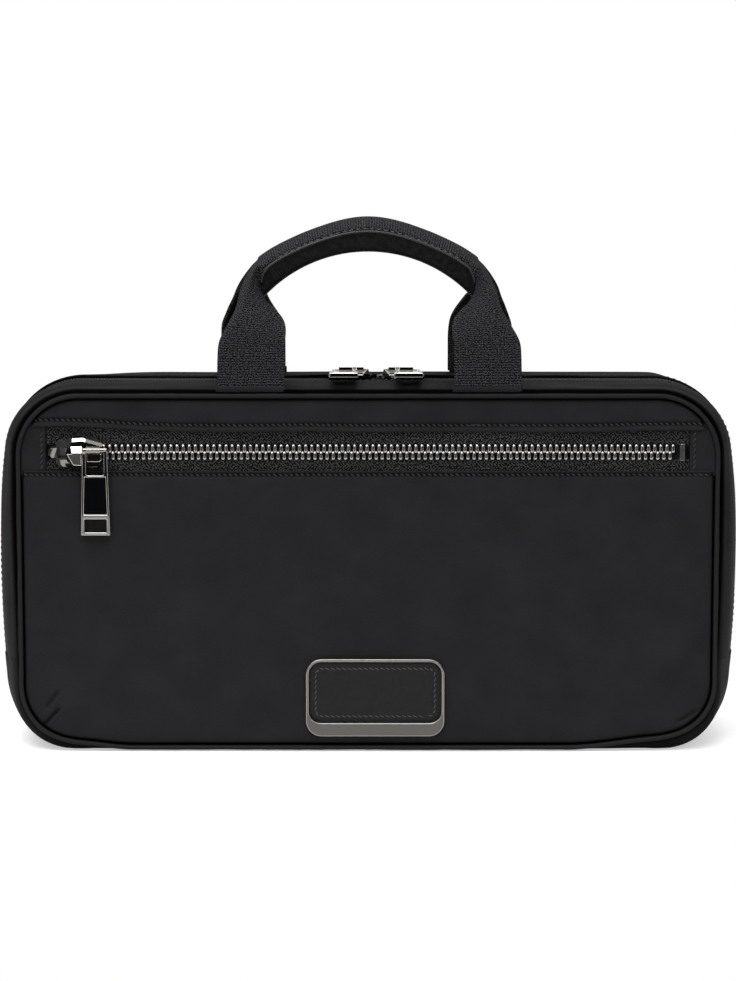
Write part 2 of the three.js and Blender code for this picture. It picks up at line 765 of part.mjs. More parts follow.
// One webbing strap: sewn at a seam on the left, up through the grip and down to the same seam on the right.
// It starts flat and wide and is folded narrow where it enters the grip. side is -1 for the front strap.
function strap(side) {
  const footY = strapInnerY + strapThickness / 2;
  const footZ = bagHeight + clearance;
  const gripY = strapFoldedWidth / 2 + clearance;
  const bendZ = footZ + (gripEndHeight - footZ) * strapBendShare;
  const entry = gripPoint(gripHalfAngle, strapOut, gripY);
  const knee = new THREE.Vector3(strapFootX, footY, bendZ);
  const outwards = new THREE.Vector3(Math.cos(gripHalfAngle), 0, -Math.sin(gripHalfAngle));
  const lead = entry.clone().addScaledVector(outwards, strapLead).setY(gripY + strapThickness);
  const elbow = new THREE.Vector3(strapFootX + strapThickness, strapElbowY, bagHeight + strapElbowRise);
  const rise = new THREE.CatmullRomCurve3([
    new THREE.Vector3(strapFootX, footY, footZ),
    new THREE.Vector3(strapFootX, footY, (footZ + bendZ) / 2),
    knee,
    elbow,
    lead,
    entry,
  ]);
  const half = [];
  for (let i = 0; i <= riseSteps; i += 1) {
    const share = i / riseSteps;
    const turn = THREE.MathUtils.smoothstep(share, ...foldShares);
    const centre = rise.getPoint(share);
    const tangent = i === riseSteps ? outwards.clone().negate() : rise.getTangent(share);
    half.push({ centre, tangent, turn });
  }
  const right = half.map((stop) => ({ ...stop }));
  const arch = [];
  for (let i = 1; i < gripSteps; i += 1) {
    const angle = gripHalfAngle * (1 - (2 * i) / gripSteps);
    arch.push({
      centre: gripPoint(angle, strapOut, gripY),
      tangent: new THREE.Vector3(-Math.cos(angle), 0, Math.sin(angle)),
      turn: 1,
    });
  }
  const left = half
    .map(({ centre, tangent, turn }) => ({
      centre: new THREE.Vector3(-centre.x, centre.y, centre.z),
      tangent: new THREE.Vector3(tangent.x, -tangent.y, -tangent.z),
      turn,
    }))
    .reverse();
  const rings = [...right, ...arch, ...left].map(({ centre, tangent, turn }, index) => {
    const leftSide = index >= right.length + arch.length;
    const wide = new THREE.Vector3(leftSide ? -1 : 1, 0, 0).multiplyScalar(1 - turn);
    wide.add(new THREE.Vector3(0, 1, 0).multiplyScalar(-turn));
    wide.addScaledVector(tangent, -wide.dot(tangent)).normalize();
    const thick = new THREE.Vector3().crossVectors(tangent, wide);
    const halfWide = (strapWidth + (strapFoldedWidth - strapWidth) * turn) / 2;
    const halfThick = (strapThickness + (strapFoldedThickness - strapThickness) * turn) / 2;
    const corner = (a, b) => {
      const point = centre.clone().addScaledVector(wide, a * halfWide).addScaledVector(thick, b * halfThick);
      point.y *= side;
      return point;
    };
    return [corner(1, 1), corner(-1, 1), corner(-1, -1), corner(1, -1)];
  });
  return loft(rings);
}

function addHandle() {
  add("handle_strap_front", strap(-1), webbing);
  add("handle_strap_back", strap(1), webbing);
  const upperDepth = gripHeight * gripUpperShare;
  add("grip_cover_upper", gripChannel(1, upperDepth), webbing);
  add("grip_cover_lower", gripChannel(-1, gripHeight - upperDepth - clearance), leather);
  const coreHigh = strapOut - strapFoldedThickness / 2 - clearance;
  const coreLow = gripWall + clearance - gripHeight / 2;
  const coreHalf = gripWidth / 2 - gripWall - gripCornerRadius;
  const core = [
    [coreLow, coreHalf],
    [coreHigh, coreHalf],
    [coreHigh, -coreHalf],
    [coreLow, -coreHalf],
  ];
  add("grip_core", gripLoft(core), foam);
}

function addBadge() {
  const back = front + panelSetBack - clearance;
  const left = badgeX - badgeWidth / 2;
  const bottom = badgeZ - badgeHeight / 2;
  const outline = roundedRectangle(left, bottom, left + badgeWidth, bottom + badgeHeight, badgeRadius);
  const windowShape = (inset) =>
    roundedRectangle(
      left + badgeRim + inset,
      bottom + badgeBand + inset,
      left + badgeWidth - badgeRim - inset,
      bottom + badgeHeight - badgeRim - inset,
      badgeRadius - badgeRim - inset,
    );
  const plate = sheet(outline, back - badgeThickness, back);
  const opening = sheet(windowShape(0), back - badgeThickness - cutOverrun, back + cutOverrun);
  add("badge_frame", cut(plate, [opening]), gunmetal);
  add("badge_leather", sheet(windowShape(clearance), back - leatherThickness, back), leather);
}

addShell();
addInside();
addMainZip();
addPocketZip();
addSliders();
addHandle();
addBadge();

export default group;
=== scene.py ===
# A slim black nylon cosmetic bag with piped panels, a metal pocket zip, a coil zip round its top
# and a handle.
# Metres. X runs to the right, the front faces -Y, Z is up, and the origin is the middle of the base.
import json
import math

import bmesh
import bpy
import numpy as np
from mathutils import Matrix, Vector


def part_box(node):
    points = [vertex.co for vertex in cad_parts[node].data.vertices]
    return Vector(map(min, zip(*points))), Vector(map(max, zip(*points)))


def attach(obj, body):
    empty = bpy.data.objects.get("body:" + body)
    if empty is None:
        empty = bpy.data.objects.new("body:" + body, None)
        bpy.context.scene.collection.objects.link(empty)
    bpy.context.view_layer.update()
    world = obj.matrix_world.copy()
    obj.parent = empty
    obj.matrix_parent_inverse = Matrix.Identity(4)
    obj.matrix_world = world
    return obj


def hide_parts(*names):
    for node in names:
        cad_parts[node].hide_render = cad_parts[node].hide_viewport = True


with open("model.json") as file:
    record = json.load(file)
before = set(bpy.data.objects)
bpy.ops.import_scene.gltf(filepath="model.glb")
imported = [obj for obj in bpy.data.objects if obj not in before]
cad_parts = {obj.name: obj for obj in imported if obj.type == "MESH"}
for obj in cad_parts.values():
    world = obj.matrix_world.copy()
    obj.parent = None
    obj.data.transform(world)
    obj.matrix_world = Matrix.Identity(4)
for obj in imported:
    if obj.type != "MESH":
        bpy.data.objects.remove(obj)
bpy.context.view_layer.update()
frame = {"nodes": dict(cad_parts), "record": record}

# The outline over the piping
PIPE_LOW, PIPE_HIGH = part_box("front_piping")
HALF = PIPE_HIGH.x
TOP = PIPE_HIGH.z
FRONT = PIPE_LOW.y
TOP_RADIUS = 0.027
BOTTOM_RADIUS = 0.031

# Cloth
CLEAR = 0.0003
PIPE_LOOK = 0.0011
PIPE_INSET = 0.0006
PIPE_INNER = PIPE_INSET + 2 * PIPE_LOOK - 0.0002
PANEL_DEPTH = 0.001
PANEL_EDGE_DEPTH = 0.0019
PANEL_ROLL = 0.0022
FOLD = 0.00055
PANEL_TUCK = 0.0004
PANEL_HEM = ((0.0004, 0), (0.0007, 0.001), (0.0007, 0.004))
GUSSET_HEM = ((0.0003, 0.0001), (0.0009, 0), (0.0009, -0.004))
# Painted seam shade: how dark it gets, and the share of the cloth's colour that is left there
PAINTED_SEAM_SHADE, SEAM_SHADE_COLOR = 0.95, 0.08
TWILL_PITCH = 0.00048
RIBBON_WIDTH, RIBBON_THICK = 0.028, 0.0013
CORNER_PUSH = 0.0033
LOW_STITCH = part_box("pocket_front")[1].z - 0.0016
HIGH_STITCH = 0.0028
SEAM_Y = 0.0029
SIDE_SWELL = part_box("gusset_front_band")[1].x - HALF
TOP_SWELL = 0.001
ZIP_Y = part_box("main_coil_back")[0].y - 0.00015
ZIP_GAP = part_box("gusset_back_band")[0].y - ZIP_Y
ZIP_END_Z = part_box("main_coil_back")[0].z

# Pocket zip
POCKET_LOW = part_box("pocket_front")[1].z
POCKET_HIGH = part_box("front_panel_upper")[0].z
TAB_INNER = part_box("pocket_zip_tab_right")[0].x

# Camera and light
CAMERA_PLACE = (0, -1.534, 0.3553)
CAMERA_AIM = (0, -0.034, 0.11115)
LENS = 134.4
FLOOR_GLOW = 0.45
MIRROR_GLOW = 0.2
FLOOR_FADE = (0.07, 0.15)
PAPER_EDGE = (-0.36, -0.27)
ROOM_DARK, ROOM_LIGHT = 0.08, 1.0
ROOM_SPAN = (0.15, 0.95)


# Smooth noise and curves
def hashed(ix, iy, seed):
    value = np.sin(ix * 127.1 + iy * 311.7 + seed * 74.7) * 43758.5453
    return value - np.floor(value)


def noise2(x, y, seed=0):
    """Smooth value noise between -1 and 1."""
    x, y = np.asarray(x, float), np.asarray(y, float)
    ix, iy = np.floor(x), np.floor(y)
    fx, fy = x - ix, y - iy
    sx, sy = fx * fx * (3 - 2 * fx), fy * fy * (3 - 2 * fy)
    low = hashed(ix, iy, seed) * (1 - sx) + hashed(ix + 1, iy, seed) * sx
    high = hashed(ix, iy + 1, seed) * (1 - sx) + hashed(ix + 1, iy + 1, seed) * sx
    return 2 * (low * (1 - sy) + high * sy) - 1


def smooth(low, high, value):
    share = np.clip((value - low) / (high - low), 0, 1)
    return share * share * (3 - 2 * share)


def hump(value, width):
    """1 where the value is 0, and falling off smoothly on both sides."""
    return np.exp(-((value / width) ** 2))


def inside_distance(x, z):
    """How far a point lies inside the outline."""
    x = np.abs(np.asarray(x, float))
    z = np.asarray(z, float)
    radius = np.where(z > TOP / 2, TOP_RADIUS, BOTTOM_RADIUS)
    dx = x - (HALF - radius)
    dz = np.abs(z - TOP / 2) - (TOP / 2 - radius)
    corner = np.hypot(np.maximum(dx, 0), np.maximum(dz, 0))
    return radius - corner - np.minimum(np.maximum(dx, dz), 0)


def outline(step=0.002):
    """Points, outward normals and arc lengths, from the middle of the base up the right side and round."""
    points, normals = [], []

    def line(start, end, normal):
        start, end = np.array(start), np.array(end)
        count = max(2, round(float(np.linalg.norm(end - start)) / step))
        for i in range(count):
            points.append(start + (end - start) * i / count)
            normals.append(normal)

    def arc(centre, radius, start):
        count = round(radius * math.pi / 2 / step)
        for i in range(count):
            angle = start + math.pi / 2 * i / count
            normal = (math.cos(angle), math.sin(angle))
            points.append(np.array(centre) + radius * np.array(normal))
            normals.append(normal)

    low, high, shoulder = HALF - BOTTOM_RADIUS, HALF - TOP_RADIUS, TOP - TOP_RADIUS
    line((0, 0), (low, 0), (0, -1))
    arc((low, BOTTOM_RADIUS), BOTTOM_RADIUS, -math.pi / 2)
    line((HALF, BOTTOM_RADIUS), (HALF, shoulder), (1, 0))
    arc((high, shoulder), TOP_RADIUS, 0)
    line((high, TOP), (-high, TOP), (0, 1))
    arc((-high, shoulder), TOP_RADIUS, math.pi / 2)
    line((-HALF, shoulder), (-HALF, BOTTOM_RADIUS), (-1, 0))
    arc((-low, BOTTOM_RADIUS), BOTTOM_RADIUS, math.pi)
    line((-low, 0), (0, 0), (0, -1))
    points, normals = np.array(points), np.array(normals)
    steps = np.linalg.norm(np.roll(points, -1, 0) - points, axis=1)
    return points, normals, np.concatenate([[0], np.cumsum(steps)])


def beside(points, normals, out, y):
    """Points at a distance out from the outline and at a depth y."""
    x, z = points[..., 0] + normals[..., 0] * out, points[..., 1] + normals[..., 1] * out
    return np.stack([x, y + 0 * x, z], -1)


# Meshes
def placed(name, data):
    """A new object in the scene."""
    piece = bpy.data.objects.new(name, data)
    bpy.context.scene.collection.objects.link(piece)
    return piece


def mesh_of(name, points, faces):
    mesh = bpy.data.meshes.new(name)
    mesh.from_pydata(points, [], faces)
    return mesh


def smooth_shaded(mesh):
    mesh.polygons.foreach_set("use_smooth", [True] * len(mesh.polygons))


def joined(name, points, faces, material):
    """A smooth piece of points and faces."""
    mesh = mesh_of(name, points.reshape(-1, 3).tolist(), faces.tolist())
    smooth_shaded(mesh)
    mesh.materials.append(material)
    return placed(name, mesh)


def grid(name, points, uv, material, wrap_rows=False, wrap_columns=False, flip=False):
    """A quad sheet from rows of points. uv has one row or column more where the sheet wraps."""
    rows, columns = points.shape[:2]
    row_ids = np.arange(rows if wrap_rows else rows - 1)
    column_ids = np.arange(columns if wrap_columns else columns - 1)
    r, c = [a.ravel() for a in np.meshgrid(row_ids, column_ids, indexing="ij")]
    corners = [(r, c), (r + 1, c), (r + 1, c + 1), (r, c + 1)]
    if flip:
        corners.reverse()
    faces = np.stack([(a % rows) * columns + b % columns for a, b in corners], 1)
    piece = joined(name, points, faces, material)
    layer = piece.data.uv_layers.new(name="UVMap")
    layer.data.foreach_set("uv", np.stack([uv[a, b] for a, b in corners], 1).reshape(-1))
    return piece


def thickened(piece, thickness):
    """Gives a sheet its thickness, away from its normals. It still has to be applied."""
    thick = piece.modifiers.new("thick", "SOLIDIFY")
    thick.thickness = thickness
    thick.offset = -1


def spots_of(mesh):
    """The mesh's points, a row for each."""
    spots = np.empty(len(mesh.vertices) * 3)
    mesh.vertices.foreach_get("co", spots)
    return spots.reshape(-1, 3)


def store_seam_shade(piece, measure):
    """Stores a painted seam shade from 0 to 1 for each point of a mesh, from its x, y and z."""
    layer = piece.data.attributes.new("seam_shade", "FLOAT", "POINT")
    layer.data.foreach_set("value", np.clip(measure(*spots_of(piece.data).T), 0, 1))
    return piece


def arc_uv(points, wrap_rows=False, wrap_columns=False):
    """UVs in metres along the rows and the columns of a grid."""
    rows = np.concatenate([points, points[:1]]) if wrap_rows else points
    full = np.concatenate([rows, rows[:, :1]], 1) if wrap_columns else rows
    u = np.linalg.norm(np.diff(full, axis=0), axis=2).mean(1)
    v = np.linalg.norm(np.diff(full, axis=1), axis=2).mean(0)
    u, v = np.concatenate([[0], np.cumsum(u)]), np.concatenate([[0], np.cumsum(v)])
    return np.stack(np.meshgrid(u, v, indexing="ij"), 2)


# Materials, each with its own weave, grain or wear, and some with painted shade or painted highlights
class Wires:
    """Adds shader nodes to a material or to the world, and wires them."""

    def __init__(self, owner):
        owner.use_nodes = True
        self.nodes, self.links = owner.node_tree.nodes, owner.node_tree.links

    def node(self, kind, inputs=(), **settings):
        made = self.nodes.new(kind)
        for key, value in settings.items():
            setattr(made, key, value)
        for socket, value in dict(inputs).items():
            if isinstance(value, bpy.types.NodeSocket):
                self.links.new(value, made.inputs[socket])
            else:
                made.inputs[socket].default_value = value
        return made

    def math(self, operation, *values):
        return self.node("ShaderNodeMath", enumerate(values), operation=operation).outputs[0]

    def weighed(self, first, share, second, other_share):
        """The sum of two values, each times its own share."""
        parts = self.math("MULTIPLY", first, share), self.math("MULTIPLY", second, other_share)
        return self.math("ADD", *parts)

    def ramp(self, value, start, end, low=0.0, high=1.0, **settings):
        """Maps the span from start to end onto the span from low to high, and stops at its ends."""
        inputs = {0: value, 1: start, 2: end, 3: low, 4: high}
        return self.node("ShaderNodeMapRange", inputs, **settings).outputs[0]

    def seen_rays(self):
        """1 for camera rays, and 1 for all rays that show a surface: straight, mirrored or through glass."""
        path = self.node("ShaderNodeLightPath").outputs
        total = path["Is Camera Ray"]
        for kind in ("Is Glossy Ray", "Is Transmission Ray"):
            total = self.math("MAXIMUM", total, path[kind])
        return path["Is Camera Ray"], total


class Look(Wires):
    """A material whose nodes are wired by name, with metres as the unit of its patterns."""

    def __init__(self, name, color, roughness, metallic=0.0, place="UV", **sockets):
        self.made = bpy.data.materials.new(name)
        super().__init__(self.made)
        self.shader = self.nodes["Principled BSDF"]
        self.color, self.roughness = color, roughness
        self.shader.inputs["Base Color"].default_value = (*color, 1)
        self.shader.inputs["Roughness"].default_value = roughness
        self.shader.inputs["Metallic"].default_value = metallic
        for socket, value in sockets.items():
            self.shader.inputs[socket.replace("_", " ")].default_value = value
        self.place = self.node("ShaderNodeTexCoord").outputs[place]

    def wire(self, value, socket):
        self.links.new(value, self.shader.inputs[socket])
        return self

    def axis(self, index):
        return self.node("ShaderNodeSeparateXYZ", {0: self.place}).outputs[index]

    def noise(self, size, detail=3.0, stretch=(1, 1, 1)):
        scaled = self.node("ShaderNodeMapping", {"Vector": self.place, "Scale": stretch}).outputs[0]
        values = {"Vector": scaled, "Scale": 1 / size, "Detail": detail}
        return self.node("ShaderNodeTexNoise", values).outputs[0]

    def waves(self, value, pitch):
        """A smooth wave between 0 and 1 along a value in metres."""
        turned = self.math("SINE", self.math("MULTIPLY", value, 2 * math.pi / pitch))
        return self.math("ADD", self.math("MULTIPLY", turned, 0.5), 0.5)

    def spread(self, value, low, high):
        return self.ramp(value, 0.25, 0.75, low, high)

    def mixed(self, value, first, second):
        """The surface colour goes from the first to the second."""
        mix = self.node("ShaderNodeMix", {0: value, 6: first, 7: second}, data_type="RGBA")
        return self.wire(mix.outputs[2], "Base Color")

    def tint(self, value, low, high):
        """Lets the colour vary between two shares of itself."""
        return self.mixed(value, *[(*(min(1.0, c * share) for c in self.color), 1) for share in (low, high)])

    def paint_seam_shade(self):
        """Painted shade: darkens the cloth and takes out its sheen where the mesh's seam shade value is high,
        as deep in a seam.
        """
        cloth = self.shader.inputs["Base Color"].links[0].from_socket
        seam_shade = self.node("ShaderNodeAttribute", attribute_name="seam_shade").outputs["Fac"]
        self.mixed(seam_shade, cloth, (*(SEAM_SHADE_COLOR * c for c in self.color), 1))
        shine = self.shader.inputs["Specular IOR Level"].default_value
        return self.wire(self.math("MULTIPLY", self.math("SUBTRACT", 1.0, seam_shade), shine), "Specular IOR Level")

    def wear(self, value, less, more):
        """Lets the roughness vary about its own value."""
        return self.wire(self.spread(value, self.roughness - less, self.roughness + more), "Roughness")

    def relief(self, height, depth):
        bump = self.node("ShaderNodeBump", {"Height": height, "Strength": 1.0, "Distance": depth})
        return self.wire(bump.outputs[0], "Normal")


def twill(name, color, roughness, depth, mottle=0.12, **sockets):
    look = Look(name, color, roughness, **sockets)
    slant = look.math("ADD", look.axis(0), look.math("MULTIPLY", look.axis(1), 0.55))
    ribs = look.waves(slant, TWILL_PITCH)
    steps = look.waves(look.axis(1), TWILL_PITCH * 0.72)
    grain = look.noise(0.0006)
    height = look.weighed(ribs, steps, grain, 0.6)
    patches = look.noise(0.018, 4.0)
    uneven = look.math("MULTIPLY", look.math("ADD", patches, grain), 0.5)
    look.tint(look.spread(uneven, 0, 1), 1 - mottle, 1 + mottle)
    # Painted shade along the seams, from the mesh's seam shade values
    look.paint_seam_shade()
    return look.wear(patches, 0.05, 0.07).relief(height, depth).made


def ribbed(name, color, roughness, pitch, depth, width):
    """Webbing: uneven ribs across its length, and plainer selvedges."""
    look = Look(name, color, roughness, Specular_IOR_Level=0.08)
    ribs = look.waves(look.axis(0), pitch)
    yarn = look.ramp(look.noise(1.0, 1.0, (1 / 0.0005, 1 / 0.0006, 1)), 0.4, 0.6)
    height = look.weighed(ribs, 0.42, yarn, 0.58)
    edge = look.math("MINIMUM", look.axis(1), look.math("SUBTRACT", width, look.axis(1)))
    inner = look.ramp(edge, 0.0012, 0.0019, 0.35)
    # The raised yarn is painted lighter: painted glints on the webbing, over its uneven weave
    look.tint(look.ramp(height, 0.38, 0.72), 0.0, 3.7)
    look.wear(look.noise(0.01), 0.05, 0.08)
    return look.relief(look.math("MULTIPLY", height, inner), depth).made


def herringbone(name, color, roughness, pitch, depth):
    look = Look(name, color, roughness, Specular_IOR_Level=0.08)
    folded = look.math("PINGPONG", look.axis(1), pitch * 1.6)
    slant = look.math("ADD", look.axis(0), folded)
    grain = look.ramp(look.noise(0.0007, 1.0), 0.4, 0.6)
    height = look.weighed(look.waves(slant, pitch), 0.45, grain, 0.65)
    look.tint(look.ramp(height, 0.4, 0.84), 0.0, 6.2)
    return look.wear(look.noise(0.006), 0.05, 0.08).relief(height, depth).made


def plain_weave(name, color, roughness, pitch, depth):
    look = Look(name, color, roughness, Specular_IOR_Level=0.3)
    height = look.math("MULTIPLY", look.waves(look.axis(0), pitch), look.waves(look.axis(1), pitch))
    grain = look.noise(0.0008)
    look.tint(look.weighed(height, 0.5, grain, 0.5), 0.75, 1.25)
    return look.wear(grain, 0.05, 0.05).relief(height, depth).made


def grained(name, color, roughness, cell, depth, uneven=0.15, **sockets):
    """Leather, foam or board: cells with fine grain between them."""
    look = Look(name, color, roughness, place="Object", **sockets)
    where = {"Vector": look.place, "Scale": 1 / cell}
    cells = look.node("ShaderNodeTexVoronoi", where, feature="SMOOTH_F1").outputs[0]
    grain = look.noise(0.0004)
    height = look.weighed(cells, 0.7, grain, 0.4)
    look.tint(look.ramp(look.noise(0.0022), 0.4, 0.6), 1 - uneven, 1 + uneven)
    return look.wear(grain, 0.06, 0.06).relief(height, depth).made


def metal(name, color, roughness, vary, stretch=(1, 1, 1), size=0.002, depth=0.0):
    look = Look(name, color, roughness, 1.0, place="Object")
    streaks = look.noise(size, 5.0, stretch)
    look.tint(look.spread(streaks, 0, 1), 0.9, 1.1)
    look.wear(streaks, vary, vary)
    if depth:
        look.relief(streaks, depth)
    return look.made


def twisted(name, color, roughness):
    look = Look(name, color, roughness, place="Object", Specular_IOR_Level=0.35)
    twist = look.waves(look.math("ADD", look.axis(0), look.math("ADD", look.axis(1), look.axis(2))), 0.0005)
    look.tint(look.weighed(twist, 0.7, look.noise(0.004), 0.3), 0.6, 1.4)
    return look.relief(twist, 0.00006).made


def moulded(name, color, roughness, size=0.001, depth=0.00001, **sockets):
    look = Look(name, color, roughness, place="Object", **sockets)
    grain = look.noise(size, 4.0)
    look.wear(grain, min(0.04, roughness - 0.02), 0.05)
    look.tint(look.noise(size * 6), 0.85, 1.15)
    return look.relief(grain, depth).made


nylon = twill("nylon", (0.0175, 0.0171, 0.0186), 0.55, 0.00006, 0.32, Specular_IOR_Level=0.03)
# The gusset's nylon is the panels' nylon painted darker: painted shade on the bag's sides, top and base
gusset_nylon_painted_shade = twill("gusset_nylon_painted_shade", (0.0076, 0.0074, 0.0081), 0.55, 0.00006, 0.25, Specular_IOR_Level=0.03)
piping_cloth = twill("piping_cloth", (0.0165, 0.0161, 0.0175), 0.5, 0.00005, Specular_IOR_Level=0.05)
webbing = ribbed("webbing", (0.0135, 0.0135, 0.0147), 0.75, 0.0011, 0.0003, RIBBON_WIDTH)
tape_cloth = herringbone("tape_cloth", (0.0096, 0.0094, 0.0094), 0.8, 0.0013, 0.0003)
coil_plastic = moulded("coil_plastic", (0.01, 0.01, 0.011), 0.35)
lining_cloth = plain_weave("lining_cloth", (0.05, 0.05, 0.055), 0.75, 0.0006, 0.00006)
foam = grained("foam", (0.09, 0.09, 0.1), 0.95, 0.0011, 0.0003)
board = grained("board", (0.03, 0.03, 0.03), 0.7, 0.0006, 0.00006)
leather = grained("leather", (0.0085, 0.0083, 0.0085), 0.5, 0.0011, 0.00016, 0.12, Specular_IOR_Level=0.2)
# Painted highlight: the leather's rolled top edge is painted lighter than the leather
welt_highlight_color = (0.026, 0.0255, 0.026)
leather_welt_highlight = grained("leather_welt_highlight", welt_highlight_color, 0.38, 0.0009, 0.0001, 0.1, Specular_IOR_Level=0.35)
grip_hide = grained("grip_hide", (0.0045, 0.0044, 0.0045), 0.55, 0.0014, 0.0002, 0.5, Specular_IOR_Level=0.12)
silver = metal("silver", (0.39, 0.38, 0.37), 0.2, 0.06, size=0.0016, depth=0.00001)
gunmetal = metal("gunmetal", (0.3, 0.285, 0.27), 0.24, 0.05)
# Lit and shaded copies of the gunmetal: a painted dark reflection for big polished faces and a painted
# highlight for bevels and facets
gunmetal_painted_dark = metal("gunmetal_painted_dark", (0.045, 0.043, 0.04), 0.12, 0.03)
gunmetal_painted_highlight = metal("gunmetal_painted_highlight", (0.58, 0.56, 0.54), 0.07, 0.03)
brushed = metal("brushed", (0.34, 0.33, 0.315), 0.42, 0.07, (1, 1, 26), 0.004, 0.00002)
badge_metal = metal("badge_metal", (0.135, 0.127, 0.118), 0.38, 0.08, (1.2, 1, 30), 0.006, 0.00002)
# Painted highlight on the badge frame's bevels
badge_painted_highlight = metal("badge_painted_highlight", (0.36, 0.345, 0.325), 0.3, 0.06)
enamel = moulded("enamel", (0.002, 0.002, 0.0025), 0.06, 0.0016, 0.000003, Specular_IOR_Level=0.1)
thread = twisted("thread", (0.03, 0.03, 0.0325), 0.55)
thread_light = twisted("thread_light", (0.075, 0.075, 0.078), 0.55)

looks = {
    "nylon": nylon, "piping": piping_cloth, "webbing": webbing, "lining": lining_cloth, "foam": foam,
    "board": board, "zip_tape": tape_cloth, "zip_coil": coil_plastic, "zip_metal": silver,
    "gunmetal": gunmetal, "enamel": enamel, "leather": leather,
}
for entry in frame["record"]["subparts"]:
    node = frame["nodes"][entry["node"]]
    node.data.materials.clear()
    node.data.materials.append(looks[entry["material_slot"]])


def stand_for(piece, slot, *nodes, body="bag"):
    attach(piece, body)
    if nodes:
        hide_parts(*nodes)
    return piece


# Panels: a point's depth behind the front plane
CREASES = [
    ((-0.1352, 0.0098), (-0.1283, 0.0176), 0.0006, 0.0019),
    ((-0.1332, 0.0180), (-0.1290, 0.0243), 0.0008, 0.0014),
    ((-0.1270, 0.0170), (-0.1180, 0.0185), 0.0022, -0.0004),
    ((-0.1160, 0.0290), (-0.1060, 0.0440), 0.0080, -0.0014),
    ((0.1290, 0.0100), (0.1360, 0.0150), 0.0007, 0.0010),
    ((0.1120, 0.0220), (0.1330, 0.0480), 0.0070, -0.0012),
]


def crease_depth(x, z):
    total = np.zeros_like(x)
    for start, end, width, depth in CREASES:
        run = np.array(end) - np.array(start)
        length = np.linalg.norm(run)
        along = ((x - start[0]) * run[0] + (z - start[1]) * run[1]) / length
        across = ((z - start[1]) * run[0] - (x - start[0]) * run[1]) / length
        fade = smooth(-width * 2, width * 2, along) * smooth(-width * 2, width * 2, length - along)
        total += depth * fade * hump(across, width)
    return total


def seam_dip(along, off, seed):
    """The groove that a stitch row pulls into the cloth, with puckers on both sides of it."""
    groove = 0.00085 * hump(off, 0.0010)
    pucker = 0.00016 * noise2(along / 0.0030, off / 0.004, seed) * hump(off, 0.0042)
    return groove + pucker


def panel_depth(x, z, seed=0):
    return cloth_depth(x, z, seed) + seam_depth(x, z)


def seam_depth(x, z):
    low = seam_dip(x, z - LOW_STITCH, 71)
    high = seam_dip(x, z - upper_lip(x) - HIGH_STITCH, 72)
    return (low + high) * smooth(0, 0.004, inside_distance(x, z) - PIPE_INNER)


def cloth_depth(x, z, seed):
    inward = inside_distance(x, z) - PIPE_INNER
    held = np.maximum(inward, 0)
    roll = (PANEL_EDGE_DEPTH - PANEL_DEPTH) * np.exp(-held / PANEL_ROLL) + 0.0021 * hump(held, 0.0006)
    slack = 0.00075 * noise2(x / 0.05, z / 0.036, seed) + 0.00036 * noise2(x / 0.022, z / 0.017, seed + 1)
    slack = slack + 0.00003 * noise2(x / 0.0055, z / 0.0045, seed + 6)
    pucker = 0.00012 * noise2(x / 0.0042, z / 0.0042, seed + 2) * np.exp(-held / 0.005)
    calm = smooth(0, 0.012, inward)
    return np.maximum(PANEL_DEPTH + roll + slack * calm + pucker, PANEL_DEPTH - 0.0006)


def span_at(x, inset, low, high):
    """The heights between which a column at x lies inside the outline, inset and cut to a band."""
    reach = HALF - inset
    x = np.minimum(np.abs(x), reach)

    def edge(radius):
        inner = radius - inset
        over = np.maximum(x - (HALF - radius), 0)
        return radius - np.sqrt(np.maximum(inner**2 - over**2, 0))

    return np.maximum(edge(BOTTOM_RADIUS), low), np.minimum(TOP - edge(TOP_RADIUS), high)


def eased(count):
    """Shares from 0 to 1 that crowd together at both ends."""
    share = np.linspace(0, 1, count)
    return 0.5 - 0.5 * np.cos(np.pi * share) * (0.35 + 0.65 * np.abs(np.cos(np.pi * share)))


def upper_lip(x):
    """The height of the upper edge of the pocket opening, which rises at the slider's end."""
    x = np.asarray(x, float)
    rise = 0.0020 * hump(x + HALF - 0.016, 0.034)
    right = 0.0006 * hump(x - HALF + 0.012, 0.04)
    return POCKET_HIGH + 0.0008 + rise + right + 0.00025 * noise2(x / 0.03, 0 * x, 5)


def panel_seam_shade(x, y, z):
    """Where painted shade falls on the panel: along the piping, and along its stitch rows."""
    inward = np.maximum(inside_distance(x, z) - PIPE_INNER, 0)
    rows = hump(z - LOW_STITCH, 0.0008) + hump(z - upper_lip(x) - HIGH_STITCH, 0.0008)
    return PAINTED_SEAM_SHADE * hump(inward, 0.0011) + 0.7 * rows * (y < 0)


